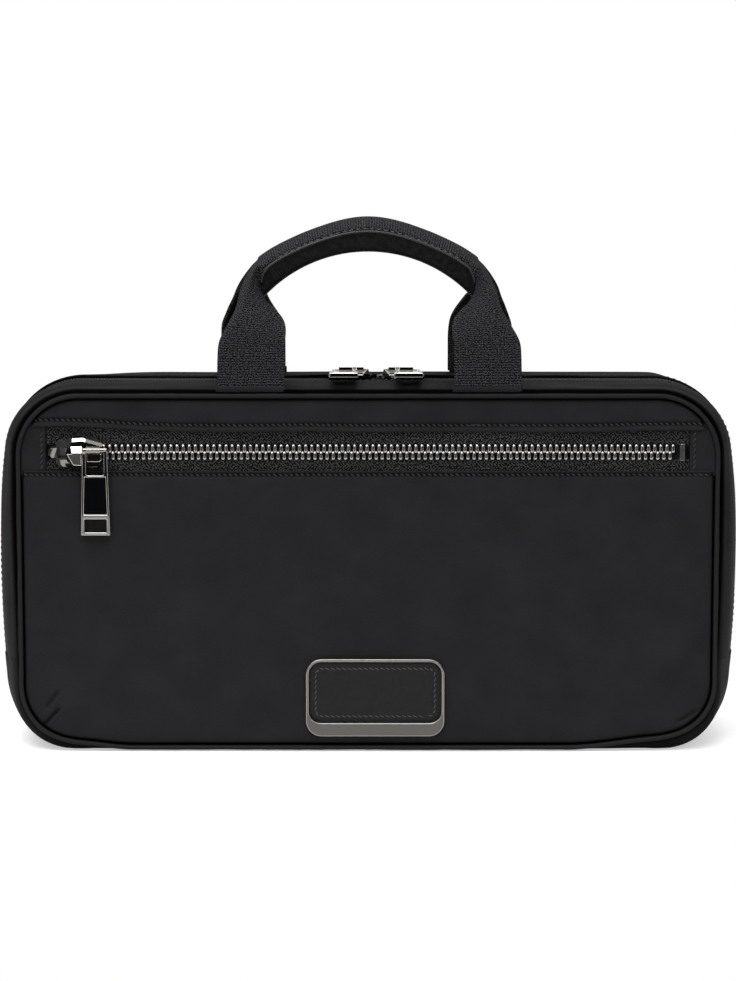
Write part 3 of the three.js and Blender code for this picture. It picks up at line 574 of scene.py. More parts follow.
def panel_piece(name, node, low, high, lip, side, seed, columns=460, rows=90):
    """A panel, on the side -1 or 1. lip is 1 for a folded lower edge, -1 for an upper one and 0 for none."""
    x = (2 * eased(columns) - 1) * (HALF - PIPE_INNER + PANEL_TUCK)
    z_low, z_high = span_at(x, PIPE_INNER - PANEL_TUCK, low, high)
    if lip > 0:
        z_low = np.minimum(upper_lip(x), z_high)
    z = z_low[:, None] + (z_high - z_low)[:, None] * eased(rows)[None, :]
    xx = np.repeat(x[:, None], rows, 1)
    depth = panel_depth(xx, z, seed)
    if side < 0:
        depth = depth + crease_depth(xx, z)
    if lip:
        edge = z[:, :1] if lip > 0 else z[:, -1:]
        past = np.clip((FOLD - (z - edge) * lip) / FOLD, 0, 1)
        depth = depth + FOLD * (1 - np.sqrt(1 - past**2)) - 0.00012 * smooth(0.004, 0.001, np.abs(z - edge))
    points = np.stack([xx, side * (-FRONT - depth), z], 2)
    if lip:
        last = points[:, :1] if lip > 0 else points[:, -1:]
        hem = [last + np.array([0, -side * deep, lip * back]) for deep, back in PANEL_HEM]
        points = np.concatenate([*hem[::-1], points] if lip > 0 else [points, *hem], 1)
    piece = grid(name, points, points[:, :, ::2], nylon, flip=side > 0)
    return stand_for(store_seam_shade(piece, panel_seam_shade), "nylon", node)


panel_piece("upper_panel_cloth", "front_panel_upper", POCKET_HIGH, TOP, 1, -1, 3, rows=56)
panel_piece("pocket_cloth", "pocket_front", 0, POCKET_LOW, -1, -1, 0, rows=190)
panel_piece("back_cloth", "back_panel", 0, TOP, 0, 1, 9, columns=260)


# Piping
def piping_piece(name, node, side, seed, sides=14):
    points, normals, lengths = outline(0.0016)
    centre = -FRONT - PIPE_LOOK - 0.0001
    run = lengths[:-1]
    wobble = 0.00010 * noise2(run / 0.011, 0 * run, seed) + 0.00006 * noise2(run / 0.0032, 0 * run, seed + 1)
    rings = []
    for k in range(sides):
        angle = 2 * math.pi * k / sides
        radius = PIPE_LOOK + wobble * (0.6 + 0.4 * math.cos(angle))
        out = radius * math.cos(angle) - PIPE_LOOK - PIPE_INSET
        rings.append(beside(points, normals, out, side * (centre + radius * math.sin(angle))))
    shape = np.stack(rings, 1)
    piece = grid(name, shape, arc_uv(shape, True, True), piping_cloth, True, True, flip=side < 0)
    # Painted shade on the piping's side towards the bag, where it meets panel and gusset
    store_seam_shade(piece, lambda x, y, z: PAINTED_SEAM_SHADE * (1 - smooth(0.3, 0.8, (np.abs(y) - centre) / PIPE_LOOK)))
    stand_for(piece, "piping", node)


piping_piece("front_piping_cord", "front_piping", -1, 21)
piping_piece("back_piping_cord", "back_piping", 1, 31)


def seam_binding(name, side):
    """The bound edge behind the piping, where panel and gusset are sewn together."""
    points, normals, _ = outline(0.0018)
    section = [(0.0018, 0.0016), (0.0026, 0.0025), (0.0030, 0.0036), (0.0030, 0.0060), (0.0012, 0.0085)]
    shape = np.stack([beside(points, normals, -inset, side * (-FRONT - deep)) for inset, deep in section], 1)
    piece = grid(name, shape, arc_uv(shape, True), piping_cloth, True, flip=side < 0)
    # Painted shade: the binding is given the full seam shade all over
    stand_for(store_seam_shade(piece, lambda x, y, z: PAINTED_SEAM_SHADE + 0 * x), "piping")


seam_binding("front_seam_binding", -1)
seam_binding("back_seam_binding", 1)


# Gusset
def swell_at(points, normals):
    off = np.abs(points[:, 1] - TOP / 2) / (TOP / 2)
    side = np.maximum(0, 1 - 0.86 * off**2.5)
    return SIDE_SWELL * np.abs(normals[:, 0]) * side + TOP_SWELL * np.maximum(0, normals[:, 1])


SEAM = -FRONT - SEAM_Y


def rise_at(y):
    return 1 - np.abs(y / SEAM) ** 2.6


def gusset_seam_shade(x, y, z):
    """Where painted shade falls on the gusset: along the piping, in a wider strip over the top than near the
    base.
    """
    reach = 0.0010 + 0.0040 * smooth(0.02, 0.12, z)
    return PAINTED_SEAM_SHADE * (1 - smooth(0.3 * reach, reach, SEAM - np.abs(y)))


def gusset_piece(name, node, keep, start_y, end_y, fold, seed, columns=44):
    """A band of the gusset. fold is 1 where its end in y is folded in, -1 for its start and 0 for none."""
    points, normals, lengths = outline(0.0018)
    order = np.nonzero(keep(points))[0]
    breaks = np.nonzero(np.diff(order) > 1)[0]
    if len(breaks):
        order = np.concatenate([order[breaks[0] + 1 :], order[: breaks[0] + 1]])
    points, normals, run = points[order], normals[order], lengths[:-1][order]
    y = (start_y + (end_y - start_y) * eased(columns))[None, :]
    from_seam, level = SEAM - np.abs(y), np.abs(y / SEAM)
    loose = smooth(0, 0.006, from_seam)
    out = swell_at(points, normals)[:, None] * rise_at(y)
    out = out + loose * 0.00022 * noise2(run[:, None] / 0.02, y / 0.012, seed)
    out = out + TOP_SWELL * np.maximum(0, normals[:, 1:]) * (level**2.6 - level**8)
    out = out + 0.0004 * loose * noise2(run[:, None] / 0.06, y / 0.007, seed + 3)
    out = out - 0.0006 * (1 - smooth(0, 0.0030, from_seam)) - 0.0016 * (1 - smooth(0, 0.0009, from_seam))
    yy = np.repeat(y, len(run), 0)
    if fold:
        end = slice(-1, None) if fold > 0 else slice(0, 1)
        hem = [(out[:, end] - drop, yy[:, end] + fold * past) for drop, past in GUSSET_HEM]
        sheet = [(out, yy), *hem] if fold > 0 else [*hem[::-1], (out, yy)]
        out, yy = [np.concatenate(part, 1) for part in zip(*sheet)]
    shape = beside(points[:, None], normals[:, None], out, yy)
    piece = grid(name, shape, arc_uv(shape), gusset_nylon_painted_shade)
    stand_for(store_seam_shade(piece, gusset_seam_shade), "nylon", node)


def above_zip_end(points):
    return points[:, 1] >= ZIP_END_Z


def below_zip_end(points):
    return points[:, 1] <= ZIP_END_Z + 0.001


gusset_piece("gusset_front_cloth", "gusset_front_band", above_zip_end, -SEAM, ZIP_Y - ZIP_GAP, 1, 41)
gusset_piece("gusset_back_cloth", "gusset_back_band", above_zip_end, ZIP_Y + ZIP_GAP, SEAM, -1, 51)
gusset_piece("gusset_bottom_cloth", "gusset_bottom", below_zip_end, -SEAM, SEAM, 0, 61, columns=72)


# Solid pieces from points, prisms and cuts, in a piece's own axes: u along, v across and w outwards
def split_mesh(mesh, normal, places):
    """Adds flat cuts across a mesh, so that its parts can have their own finish or bend."""
    worked = bmesh.new()
    worked.from_mesh(mesh)
    for place in places:
        everything = [*worked.verts, *worked.edges, *worked.faces]
        spot = [place * part for part in normal]
        bmesh.ops.bisect_plane(worked, geom=everything, plane_co=spot, plane_no=normal)
    worked.to_mesh(mesh)
    worked.free()
    return mesh


def finish_mesh(name, mesh, material, place, bevel=0.0, segments=2, faces=None, edge=None):
    """Places and bevels a solid. faces picks a finish for each face, and edge is the finish of the bevels."""
    worked = bmesh.new()
    worked.from_mesh(mesh)
    bmesh.ops.recalc_face_normals(worked, faces=worked.faces)
    worked.to_mesh(mesh)
    worked.free()
    mesh.materials.clear()
    finishes = [material]
    for face in mesh.polygons:
        wanted = faces(face.normal, face.center) if faces else material
        if wanted not in finishes:
            finishes.append(wanted)
        face.material_index = finishes.index(wanted)
    if edge and edge not in finishes:
        finishes.append(edge)
    for finish in finishes:
        mesh.materials.append(finish)
    mesh.transform(place)
    smooth_shaded(mesh)
    piece = placed(name, mesh)
    if bevel:
        cut = add_bevel(piece, bevel, segments, 24)
        cut.harden_normals = True
        cut.material = finishes.index(edge) if edge else -1
        applied(piece)
    return piece


def add_bevel(piece, width, segments, degrees):
    """Rounds the edges of a piece that are sharper than an angle. It still has to be applied."""
    bevel = piece.modifiers.new("bevel", "BEVEL")
    bevel.width = width
    bevel.segments = segments
    bevel.limit_method = "ANGLE"
    bevel.angle_limit = math.radians(degrees)
    return bevel


def applied(piece):
    """Bakes a piece's modifiers into its mesh."""
    graph = bpy.context.evaluated_depsgraph_get()
    baked = bpy.data.meshes.new_from_object(piece.evaluated_get(graph))
    piece.modifiers.clear()
    piece.data = baked
    return piece


def rectangle(u_low, v_low, u_high, v_high):
    return [(u_low, v_low), (u_high, v_low), (u_high, v_high), (u_low, v_high)]


def at_height(outline_uv, w):
    return [(u, v, w) for u, v in outline_uv]


def tube_faces(segments, around, first=0):
    """The faces of a tube of rings, whose points are numbered from the first one on."""
    turn = [(j, (j + 1) % around) for j in range(around)]
    bases = [first + k * around for k in range(segments)]
    return [(base + a, base + b, base + b + around, base + a + around) for base in bases for a, b in turn]


def drum_mesh(ring, other):
    """A closed solid between two rings of points."""
    count = len(ring)
    ends = [tuple(range(count - 1, -1, -1)), tuple(range(count, 2 * count))]
    return mesh_of("drum", ring + other, ends + tube_faces(1, count))


def prism_mesh(outline_uv, low, high):
    """A straight prism over an outline in u and v, between two heights w."""
    return drum_mesh(at_height(outline_uv, low), at_height(outline_uv, high))


def hull_mesh(points):
    mesh = bpy.data.meshes.new("hull")
    worked = bmesh.new()
    for point in points:
        worked.verts.new(point)
    bmesh.ops.convex_hull(worked, input=worked.verts)
    bmesh.ops.dissolve_limit(worked, angle_limit=math.radians(1), verts=worked.verts, edges=worked.edges)
    worked.to_mesh(mesh)
    worked.free()
    return mesh


def round_outline(u_low, v_low, u_high, v_high, radius, steps=6):
    points = []
    centres = [(u_high - radius, v_low + radius), (u_high - radius, v_high - radius)]
    centres += [(u_low + radius, v_high - radius), (u_low + radius, v_low + radius)]
    for quarter, (u, v) in enumerate(centres):
        for k in range(steps + 1):
            angle = math.pi / 2 * (quarter - 1 + k / steps)
            points.append((u + radius * math.cos(angle), v + radius * math.sin(angle)))
    return points


def combined(base, others, operation="DIFFERENCE"):
    """Cuts the other meshes out of the base, or joins them to it."""
    holder = placed("base", base)
    tools = [placed("tool", other) for other in others]
    for tool in tools:
        modifier = holder.modifiers.new("cut", "BOOLEAN")
        modifier.operation = operation
        modifier.object = tool
        modifier.solver = "EXACT"
    applied(holder)
    mesh = holder.data
    for extra in [holder, *tools]:
        bpy.data.objects.remove(extra)
    return mesh


def cylinder_mesh(radius, u_low, u_high, v, w, sides=20):
    turns = [2 * math.pi * k / sides for k in range(sides)]
    ring = [(v + math.cos(turn) * radius, w + math.sin(turn) * radius) for turn in turns]
    return drum_mesh([(u_low, a, b) for a, b in ring], [(u_high, a, b) for a, b in ring])


# Sliders and pulls
SLIDER_HALF = 0.00605
PLATE = 0.0009
CHANNEL = 0.0015
BAR = 0.0015
HOOD_FLAT = 0.0080
RECESS_HALF = 0.0021
WINDOW_TOP = -0.0275
CROWN = 0.0032
PIN_V = 0.0013
PIN_W = CHANNEL + PLATE + CROWN / 2 - 0.000375
PULL_TOP = 0.00515
PULL_TIP = 0.0061
PULL_REACH = 0.0358
PULL_HALF = 0.00105
KNUCKLE = 0.00195
POCKET_SLIDER = {"length": 0.022, "nose": 0.0033, "crown": 0.0075, "pull": 0.01945}
MAIN_SLIDER = {"length": 0.020, "nose": 0.002, "crown": 0.0024, "pull": 0.0132}


def slider_plate_outline(size):
    length, nose = size["length"], size["nose"]
    side = [
        (length, 0.0042),
        (length - 0.0018, SLIDER_HALF),
        (nose + 0.0062, SLIDER_HALF),
        (nose + 0.0012, SLIDER_HALF - 0.0006),
        (nose, SLIDER_HALF - 0.0018),
        (nose, 0.0021),
        (nose * 0.45, 0.0021),
        (0, 0.0009),
    ]
    return side + [(u, -v) for u, v in reversed(side)]


def slider_shell(size, upper):
    sign = 1 if upper else -1
    shape = slider_plate_outline(size)
    plate = prism_mesh(shape, *sorted((sign * CHANNEL, sign * (CHANNEL + PLATE))))
    flanges = []
    for side in (1, -1):
        inner, outer = sorted((side * (SLIDER_HALF - 0.0019), side * (SLIDER_HALF - 0.0001)))
        strip = rectangle(size["nose"] + 0.001, inner, size["length"] - 0.0017, outer)
        flanges.append(prism_mesh(strip, *sorted((sign * 0.0007, sign * (CHANNEL + PLATE / 2)))))
    shell = combined(plate, flanges, "UNION")
    if not upper:
        return shell
    hollow = rectangle(size["nose"] + 0.0004, -RECESS_HALF, size["crown"] + 0.0022, RECESS_HALF)
    recess = prism_mesh(hollow, CHANNEL - 0.001, CHANNEL + PLATE + 0.001)
    return split_mesh(combined(shell, [recess]), (0, 1, 0), (-RECESS_HALF, RECESS_HALF))


def crown_parts(size):
    """The hood over the pull's pin, the facet beside its slot and the loop inside its ring."""
    start, pull = size["crown"], size["pull"]
    top = CHANNEL + PLATE
    base = top - 0.0003
    bar_low, bar_high = pull - PULL_TOP - 0.00015, pull - PULL_TOP + BAR + 0.00015
    loop_end = pull + PULL_TOP - BAR - 2 * CLEAR
    rim = [
        (start, 0.0008),
        (start + 0.0026, 0.0060),
        (start + 0.0068, 0.0063),
        (start + 0.0102, 0.0042),
        (loop_end, 0.0040),
        (loop_end, 0.0),
        (start, -0.0004),
    ]
    slab_top = []
    for u, v in rim:
        chamfer = 0.0006 if v < 0.002 and u == start else 0
        slab_top.append((u + chamfer, max(v - 0.0012, -0.0004) if v > 0.002 else v))
    slab = hull_mesh(at_height(rim, base) + at_height(rim, top + 0.0004) + at_height(slab_top, top + 0.0014))
    near, far = start + 0.0020, loop_end - 0.0008
    wedge = [(u, v, w) for w in (top + 0.0012, base) for u, v in ((near, 0.0031), (far, 0.0029))]
    ridge = [(0.0004, top + CROWN), (-0.0001, top + CROWN), (-0.0002, base)]
    wedge += [(u, v, w) for u in (near + 0.0006, far) for v, w in ridge]
    hood = combined(slab, [hull_mesh(wedge)], "UNION")
    hood = split_mesh(hood, (1, 0, 0), (start + HOOD_FLAT,))
    side = bar_low - 0.0002
    left = [(start, -0.0002), (start + 0.0028, -0.0057), (side, -0.0059), (side, -0.0002)]
    left_top = [
        (start + 0.0005, -0.0002, top + 0.0026),
        (start + 0.0031, -0.0049, top + 0.0016),
        (side, -0.0051, top + 0.0016),
        (side, -0.0002, top + 0.0026),
    ]
    facet = hull_mesh(at_height(left, base) + at_height(left, top + 0.0007) + left_top)
    right = [(bar_high, -0.0002), (bar_high, -0.0040), (loop_end - 0.0008, -0.0040)]
    right += [(loop_end, -0.0030), (loop_end, -0.0002)]
    right_top = [(u + (0.0003 if u == bar_high else -0.0003), v * 0.85) for u, v in right]
    upper = at_height(right, top + 0.0012) + at_height(right_top, top + 0.0022)
    loop = hull_mesh(at_height(right, base) + upper)
    tunnels = [cylinder_mesh(0.00122, bar_low, loop_end + 0.002, PIN_V, PIN_W) for _ in range(2)]
    knuckle_room = cylinder_mesh(KNUCKLE + 0.00014, bar_low, bar_high, PIN_V, PIN_W, 40)
    slot = rectangle(bar_low, -0.008, bar_high, PIN_V + PULL_HALF + 0.00016)
    hood = combined(hood, [tunnels[0], knuckle_room, prism_mesh(slot, top, top + 0.01)])
    return hood, facet, combined(loop, [tunnels[1]])


def pull_parts():
    outline_uv = [(-PULL_TOP, 0), (-PULL_TIP, -PULL_REACH), (PULL_TIP, -PULL_REACH), (PULL_TOP, 0)]
    body = prism_mesh(outline_uv, -PULL_HALF, PULL_HALF)
    inner = PULL_TOP - BAR
    ring = prism_mesh(round_outline(-inner, -0.01045, inner, 0.004, 0.0011), -0.003, 0.003)
    window = prism_mesh(round_outline(-0.0046, -0.0345, 0.0046, -0.0290, 0.0004), -0.003, 0.003)
    recess = prism_mesh(inlay_outline(CLEAR / 2), PULL_HALF - 0.0008, 0.003)
    bars = split_mesh(combined(body, [ring, window, recess]), (0, 1, 0), (WINDOW_TOP,))
    turns = np.radians(np.linspace(-90, 20, 23))
    sector = [(0, 0)] + [(KNUCKLE * math.sin(turn), KNUCKLE * math.cos(turn)) for turn in turns]
    knuckle = hull_mesh([(u, v, w) for u in (-PULL_TOP, -PULL_TOP + BAR) for v, w in sector])
    return bars, knuckle, cylinder_mesh(0.001, -PULL_TOP + 0.0002, PULL_TOP - 0.0002, 0, 0)


def inlay_outline(grow):
    top, bottom = -0.01145, -0.02685
    top_half, bottom_half = 0.00415 + grow, 0.00465 + grow
    lower, upper = bottom - grow, top + grow
    return [(-bottom_half, lower), (bottom_half, lower), (top_half, upper), (-top_half, upper)]


def local_frame(origin, along, across, out):
    matrix = Matrix.Identity(4)
    for column, axis in enumerate((along, across, out)):
        for row in range(3):
            matrix[row][column] = axis[row]
    matrix.translation = Vector(origin)
    return matrix


# Painted highlight on the hood's faces near its nose that slope outwards to one side or to the nose, and a
# painted dark reflection on the rest
def hood_painted_light(normal, middle):
    tilted = (normal.y > 0.35 or normal.x < -0.35) and normal.z > 0.3
    return gunmetal_painted_highlight if tilted and middle.x < POCKET_SLIDER["crown"] + HOOD_FLAT else gunmetal_painted_dark


def pull_brushed_or_painted_dark(normal, middle):
    """The bars' polished faces are painted nearly black as a painted dark reflection; light brushed metal
    round the window at the tip.
    """
    return brushed if normal.z > 0.9 and middle.y < WINDOW_TOP else gunmetal_painted_dark


def add_slider(prefix, suffix, size, place, lean):
    slider, pull = f"{prefix}_slider{suffix}", f"{prefix}_pull{suffix}"
    swing = place @ Matrix.Translation((size["pull"], PIN_V, PIN_W)) @ Matrix.Rotation(lean, 4, "X")
    # Bevels get the painted highlight, and big faces the painted dark reflection
    edge = gunmetal_painted_highlight
    bars, knuckle, pin = pull_parts()
    plate = f"{prefix}_slider_plate{suffix}"
    hood_bevel = (0.00018, 2, hood_painted_light, edge)
    hoods = zip(("hood", "facet", "loop"), crown_parts(size))
    # Body, label, mesh, finish, bevel and the solids that the part stands for
    parts = [
        (slider, "body", slider_shell(size, True), gunmetal_painted_dark, (0.00017, 2, None, edge), (slider,)),
        *[(slider, label, mesh, gunmetal_painted_dark, hood_bevel, ()) for label, mesh in hoods],
        (slider, "under", slider_shell(size, False), gunmetal, (0.00018,), (plate,)),
        (pull, "frame", bars, gunmetal_painted_dark, (0.0004, 3, pull_brushed_or_painted_dark, edge), (pull,)),
        (pull, "knuckle", knuckle, gunmetal, (0.00008,), ()),
        (pull, "pin", pin, gunmetal, (0.0001,), ()),
    ]
    for body, label, mesh, finish, bevel, nodes in parts:
        piece = finish_mesh(f"{body}_{label}", mesh, finish, place if body == slider else swing, *bevel)
        stand_for(piece, "gunmetal", *nodes, body=body)
    slab = prism_mesh(inlay_outline(-CLEAR / 2), PULL_HALF - 0.0007, PULL_HALF - 0.0001)
    inlay = finish_mesh(f"{pull}_enamel", slab, enamel, swing, 0.0002)
    stand_for(inlay, "enamel", f"{prefix}_pull_inlay{suffix}", body=pull)


slider_low, slider_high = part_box("pocket_slider")
teeth_low, teeth_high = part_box("pocket_teeth_upper")
CHAIN_Y = (teeth_low.y + teeth_high.y) / 2
CHAIN_Z = (slider_low.z + slider_high.z) / 2
UPRIGHT = ((1, 0, 0), (0, 0, 1), (0, -1, 0))
pocket_place = local_frame((slider_low.x, CHAIN_Y, CHAIN_Z), *UPRIGHT)
add_slider("pocket", "", POCKET_SLIDER, pocket_place, math.radians(1))
main_low, main_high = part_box("main_slider_right")
main_y = (main_low.y + main_high.y) / 2
main_z = (main_low.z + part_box("main_slider_plate_right")[1].z) / 2
for suffix, x, along in (("_right", main_low.x, 1), ("_left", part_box("main_slider_left")[1].x, -1)):
    place = local_frame((x, main_y, main_z), (along, 0, 0), (0, 1, 0), (0, 0, 1))
    add_slider("main", suffix, MAIN_SLIDER, place, math.radians(-5))


# Pocket zip: tape, teeth and stop
TOOTH_PITCH = 0.00254
TAPE_NEAR, TAPE_FAR = 0.0032, 0.0121


def squared_off(value, power):
    """A sine or cosine raised to a power with its sign kept, which makes a round section squarer."""
    return math.copysign(abs(value) ** power, value)


def tooth_shape(half_root, half_tip, half_high, reach, back, around=14, steps=9):
    """One rounded zip tooth in u across its width, v along its length and w outwards."""
    rings = []
    for k in range(steps + 1):
        share = k / steps
        v = -reach + (back + reach) * share
        start, finish = [math.sqrt(max(0.0, 1 - max(0, 1 - 5 * part) ** 2)) for part in (share, 1 - share)]
        end = start * finish
        width = (half_tip + (half_root - half_tip) * min(1, share * 1.6)) * max(end, 0.05)
        high = half_high * max(end, 0.05) * (0.92 + 0.08 * math.sin(math.pi * share))
        for j in range(around):
            angle = 2 * math.pi * (j + 0.5) / around
            across, up = squared_off(math.cos(angle), 0.6), squared_off(math.sin(angle), 0.6)
            rings.append((width * across, v, high * up))
    return np.array(rings), np.array(tube_faces(steps, around))


def teeth_row(name, node, side, start):
    low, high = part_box(node)
    points, faces = tooth_shape(0.00082, 0.00072, (high.y - low.y) / 2, 0.00055, 0.0035)
    spots = np.stack([points[:, 0], CHAIN_Y - points[:, 2], CHAIN_Z + side * points[:, 1]], 1)
    count = int(round((high.x - low.x) / TOOTH_PITCH)) - 1
    row = np.concatenate([spots + np.array([start + k * TOOTH_PITCH, 0, 0]) for k in range(count)])
    faces = np.concatenate([faces + k * len(points) for k in range(count)])
    stand_for(joined(name, row, faces[:, ::-1] if side > 0 else faces, silver), "zip_metal", node)


def pocket_tape(name, node, z_low, z_high):
    edge = TAB_INNER + 0.001
    xx, zz = np.meshgrid(np.linspace(-edge, edge, 160), np.linspace(z_low, z_high, 14), indexing="ij")
    yy = CHAIN_Y + 0.0001 * noise2(xx / 0.012, zz / 0.006)
    stand_for(grid(name, np.stack([xx, yy, zz], 2), np.stack([xx, zz], 2), tape_cloth), "zip_tape", node)


FIRST_TOOTH = teeth_low.x + TOOTH_PITCH
teeth_row("upper_teeth", "pocket_teeth_upper", 1, FIRST_TOOTH)
teeth_row("lower_teeth", "pocket_teeth_lower", -1, FIRST_TOOTH + TOOTH_PITCH / 2)
pocket_tape("upper_tape_cloth", "pocket_tape_upper", CHAIN_Z + TAPE_NEAR, CHAIN_Z + TAPE_FAR)
pocket_tape("lower_tape_cloth", "pocket_tape_lower", CHAIN_Z - TAPE_FAR, CHAIN_Z - TAPE_NEAR)


# Stitches: short threads that dive into the cloth at both ends
FORWARD = (0.0, -1.0, 0.0)
SHORT_STITCH = {"length": 0.0018, "gap": 0.0005}


def stitch_row(
    name, path, normals, look, radius=0.0003, length=0.0021, gap=0.0006, slot="nylon", lift=0.0, slant=0.0
):
    """Threads along a path. normals holds one direction, or one for each point of the path."""
    path = np.asarray(path, float)
    normals = np.broadcast_to(np.asarray(normals, float), path.shape)
    run = np.concatenate([[0], np.cumsum(np.linalg.norm(np.diff(path, axis=0), axis=1))])
    around, rings = 6, 5
    points, faces = [], []
    shares = np.linspace(0, 1, rings)
    arch = np.sin(np.pi * shares)[:, None]
    thick = radius * (0.55 + 0.45 * arch)
    for k in range(int(run[-1] / (length + gap))):
        spots = k * (length + gap) + gap / 2 + shares * length
        centre, normal = [np.stack([np.interp(spots, run, a) for a in rows.T], 1) for rows in (path, normals)]
        normal /= np.linalg.norm(normal, axis=1)[:, None]
        along = centre[-1] - centre[0]
        along /= np.linalg.norm(along)
        across = np.cross(along, normal)
        rise = lift + radius * (1.1 * arch - 0.75)
        centre = centre + normal * rise + across * (slant * (shares - 0.5))[:, None]
        ring = []
        for j in range(around):
            angle = 2 * math.pi * j / around
            ring.append(centre + thick * (math.cos(angle) * across + 0.85 * math.sin(angle) * normal))
        points.append(np.stack(ring, 1).reshape(-1, 3))
        faces += tube_faces(rings - 1, around, k * rings * around)
    return stand_for(joined(name, np.concatenate(points), np.array(faces), look), slot)


def front_row(name, x, z, seed):
    """A stitch row on the front panel."""
    path = np.stack([x, FRONT + panel_depth(x, z, seed), z], 1)
    stitch_row(name, path, FORWARD, thread, 0.00036, **SHORT_STITCH, lift=0.0002, slant=0.0009)


edge_x = HALF - PIPE_INNER
low_x = np.linspace(-edge_x + 0.001, edge_x - 0.001, 240)
front_row("pocket_stitches_low", low_x, LOW_STITCH + 0 * low_x, 0)
high_x = np.linspace(-edge_x + 0.004, edge_x - 0.004, 240)
front_row("pocket_stitches_high", high_x, upper_lip(high_x) + HIGH_STITCH, 3)


def tab_piece(name, side, node):
    """The tab over an end of the pocket zip, whose outer edge follows the outline."""
    z = np.linspace(POCKET_LOW - 0.002, POCKET_HIGH + 0.004, 40)
    climb = np.maximum(0, z - (TOP - TOP_RADIUS))
    reach = HALF - TOP_RADIUS + np.sqrt((TOP_RADIUS - PIPE_INNER + 0.0003) ** 2 - climb**2)
    share = np.linspace(0, 1, 20)[:, None]
    xx = side * (TAB_INNER + share * (reach - TAB_INNER)[None, :])
    zz = np.repeat(z[None, :], len(share), 0)
    hem = np.clip(1 - (np.abs(xx) - TAB_INNER) / 0.0006, 0, 1)
    slack = 0.00012 * noise2(xx / 0.006, zz / 0.007, 77)
    yy = FRONT + PANEL_DEPTH + 0.00085 + slack + 0.0007 * (1 - np.sqrt(1 - hem**2))
    points = np.stack([xx, yy, zz], 2)
    points = np.concatenate([points[:1] + np.array([side * 0.004, 0.0006, 0]), points])
    stand_for(grid(name, points, points[:, :, ::2], nylon, flip=side > 0), "nylon", node)
    rows = np.linspace(POCKET_LOW + 0.0004, POCKET_HIGH + 0.001, 30)
    x, y = side * (TAB_INNER + 0.0021), FRONT + PANEL_DEPTH + 0.0008
    path = np.stack([0 * rows + x, 0 * rows + y, rows], 1)
    stitch_row(f"{name}_stitches", path, FORWARD, thread, 0.00034, **SHORT_STITCH, lift=0.0001, slant=0.0008)


tab_piece("left_tab_cloth", -1, "pocket_zip_tab_left")
tab_piece("right_tab_cloth", 1, "pocket_zip_tab_right")
stop_low, stop_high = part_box("pocket_zip_stop")
stop_outline = round_outline(stop_low.x, stop_low.z - CHAIN_Z, stop_high.x, stop_high.z - CHAIN_Z, 0.0005, 3)
stop_half = (stop_high.y - stop_low.y) / 2
stop_mesh = prism_mesh(stop_outline, -stop_half, stop_half)
stop = finish_mesh("zip_stop", stop_mesh, silver, local_frame((0, CHAIN_Y, CHAIN_Z), *UPRIGHT), 0.0003)
stand_for(stop, "zip_metal", "pocket_zip_stop")


# Main zip: tape and coil along the gusset
GUSSET = 0.001
TAPE = 0.0006
COIL_PITCH = 0.00127
COIL_OFF = 0.00142
COIL_HIGH, COIL_HALF = 0.00082, 0.00125
COIL_WIRE = 0.00031
TAPE_EDGES = (0.0026, 0.0158)


def upper_run(step=0.0016):
    points, normals, lengths = outline(step)
    order = np.nonzero(above_zip_end(points))[0]
    points, normals, run = points[order], normals[order], lengths[:-1][order]
    return points, normals, run - run[0], swell_at(points, normals)


def zip_level(swell, y):
    return swell * rise_at(y) - GUSSET - CLEAR - TAPE / 2


def main_tape(name, node, side):
    points, normals, _, swell = upper_run()
    y = ZIP_Y + side * np.linspace(*TAPE_EDGES, 10)[None, :]
    shape = beside(points[:, None], normals[:, None], zip_level(swell[:, None], y), y)
    stand_for(grid(name, shape, arc_uv(shape), tape_cloth, flip=side < 0), "zip_tape", node)


def main_coil(name, node, side, per_turn=9, around=5):
    points, normals, run, swell = upper_run(0.0005)
    turns = int(run[-1] / COIL_PITCH)
    t = np.linspace(0.0, 1.0, turns * per_turn) * run[-1]
    angle = 2 * np.pi * t / COIL_PITCH * side
    spots, ways = [np.stack([np.interp(t, run, a) for a in rows.T], 1) for rows in (points, normals)]
    level = zip_level(np.interp(t, run, swell), ZIP_Y + side * 0.0015)
    y = ZIP_Y + side * (COIL_OFF + COIL_HALF * np.cos(angle))
    path = beside(spots, ways, level + COIL_HIGH * np.sin(angle), y)
    tangent = np.gradient(path, axis=0)
    tangent /= np.linalg.norm(tangent, axis=1)[:, None]
    first = path - beside(spots, ways, level, ZIP_Y + side * COIL_OFF)
    first -= tangent * (first * tangent).sum(1)[:, None]
    first /= np.linalg.norm(first, axis=1)[:, None]
    second = np.cross(tangent, first)
    round_wire = np.arange(around) * 2 * math.pi / around
    shape = np.stack([path + COIL_WIRE * (math.cos(a) * first + math.sin(a) * second) for a in round_wire], 1)
    piece = grid(name, shape, arc_uv(shape, False, True), coil_plastic, wrap_columns=True)
    stand_for(piece, "zip_coil", node)


def gusset_stitches(name, y, seed):
    points, normals, run, swell = upper_run(0.0018)
    out = swell * rise_at(y) + 0.00022 * noise2(run / 0.02, y / 0.012 + 0 * run, seed)
    stitch_row(name, beside(points, normals, out, y), beside(0 * points, normals, 1, 0), thread)


for label, side in (("front", -1), ("back", 1)):
    main_tape(f"main_tape_{label}_cloth", f"main_tape_{label}", side)
for label, side in (("front", -1), ("back", 1)):
    main_coil(f"main_coil_{label}_turns", f"main_coil_{label}", side)
for label, side, seed in (("front", -1, 41), ("back", 1, 51)):
    gusset_stitches(f"gusset_{label}_stitches", ZIP_Y + side * (ZIP_GAP + 0.0022), seed)


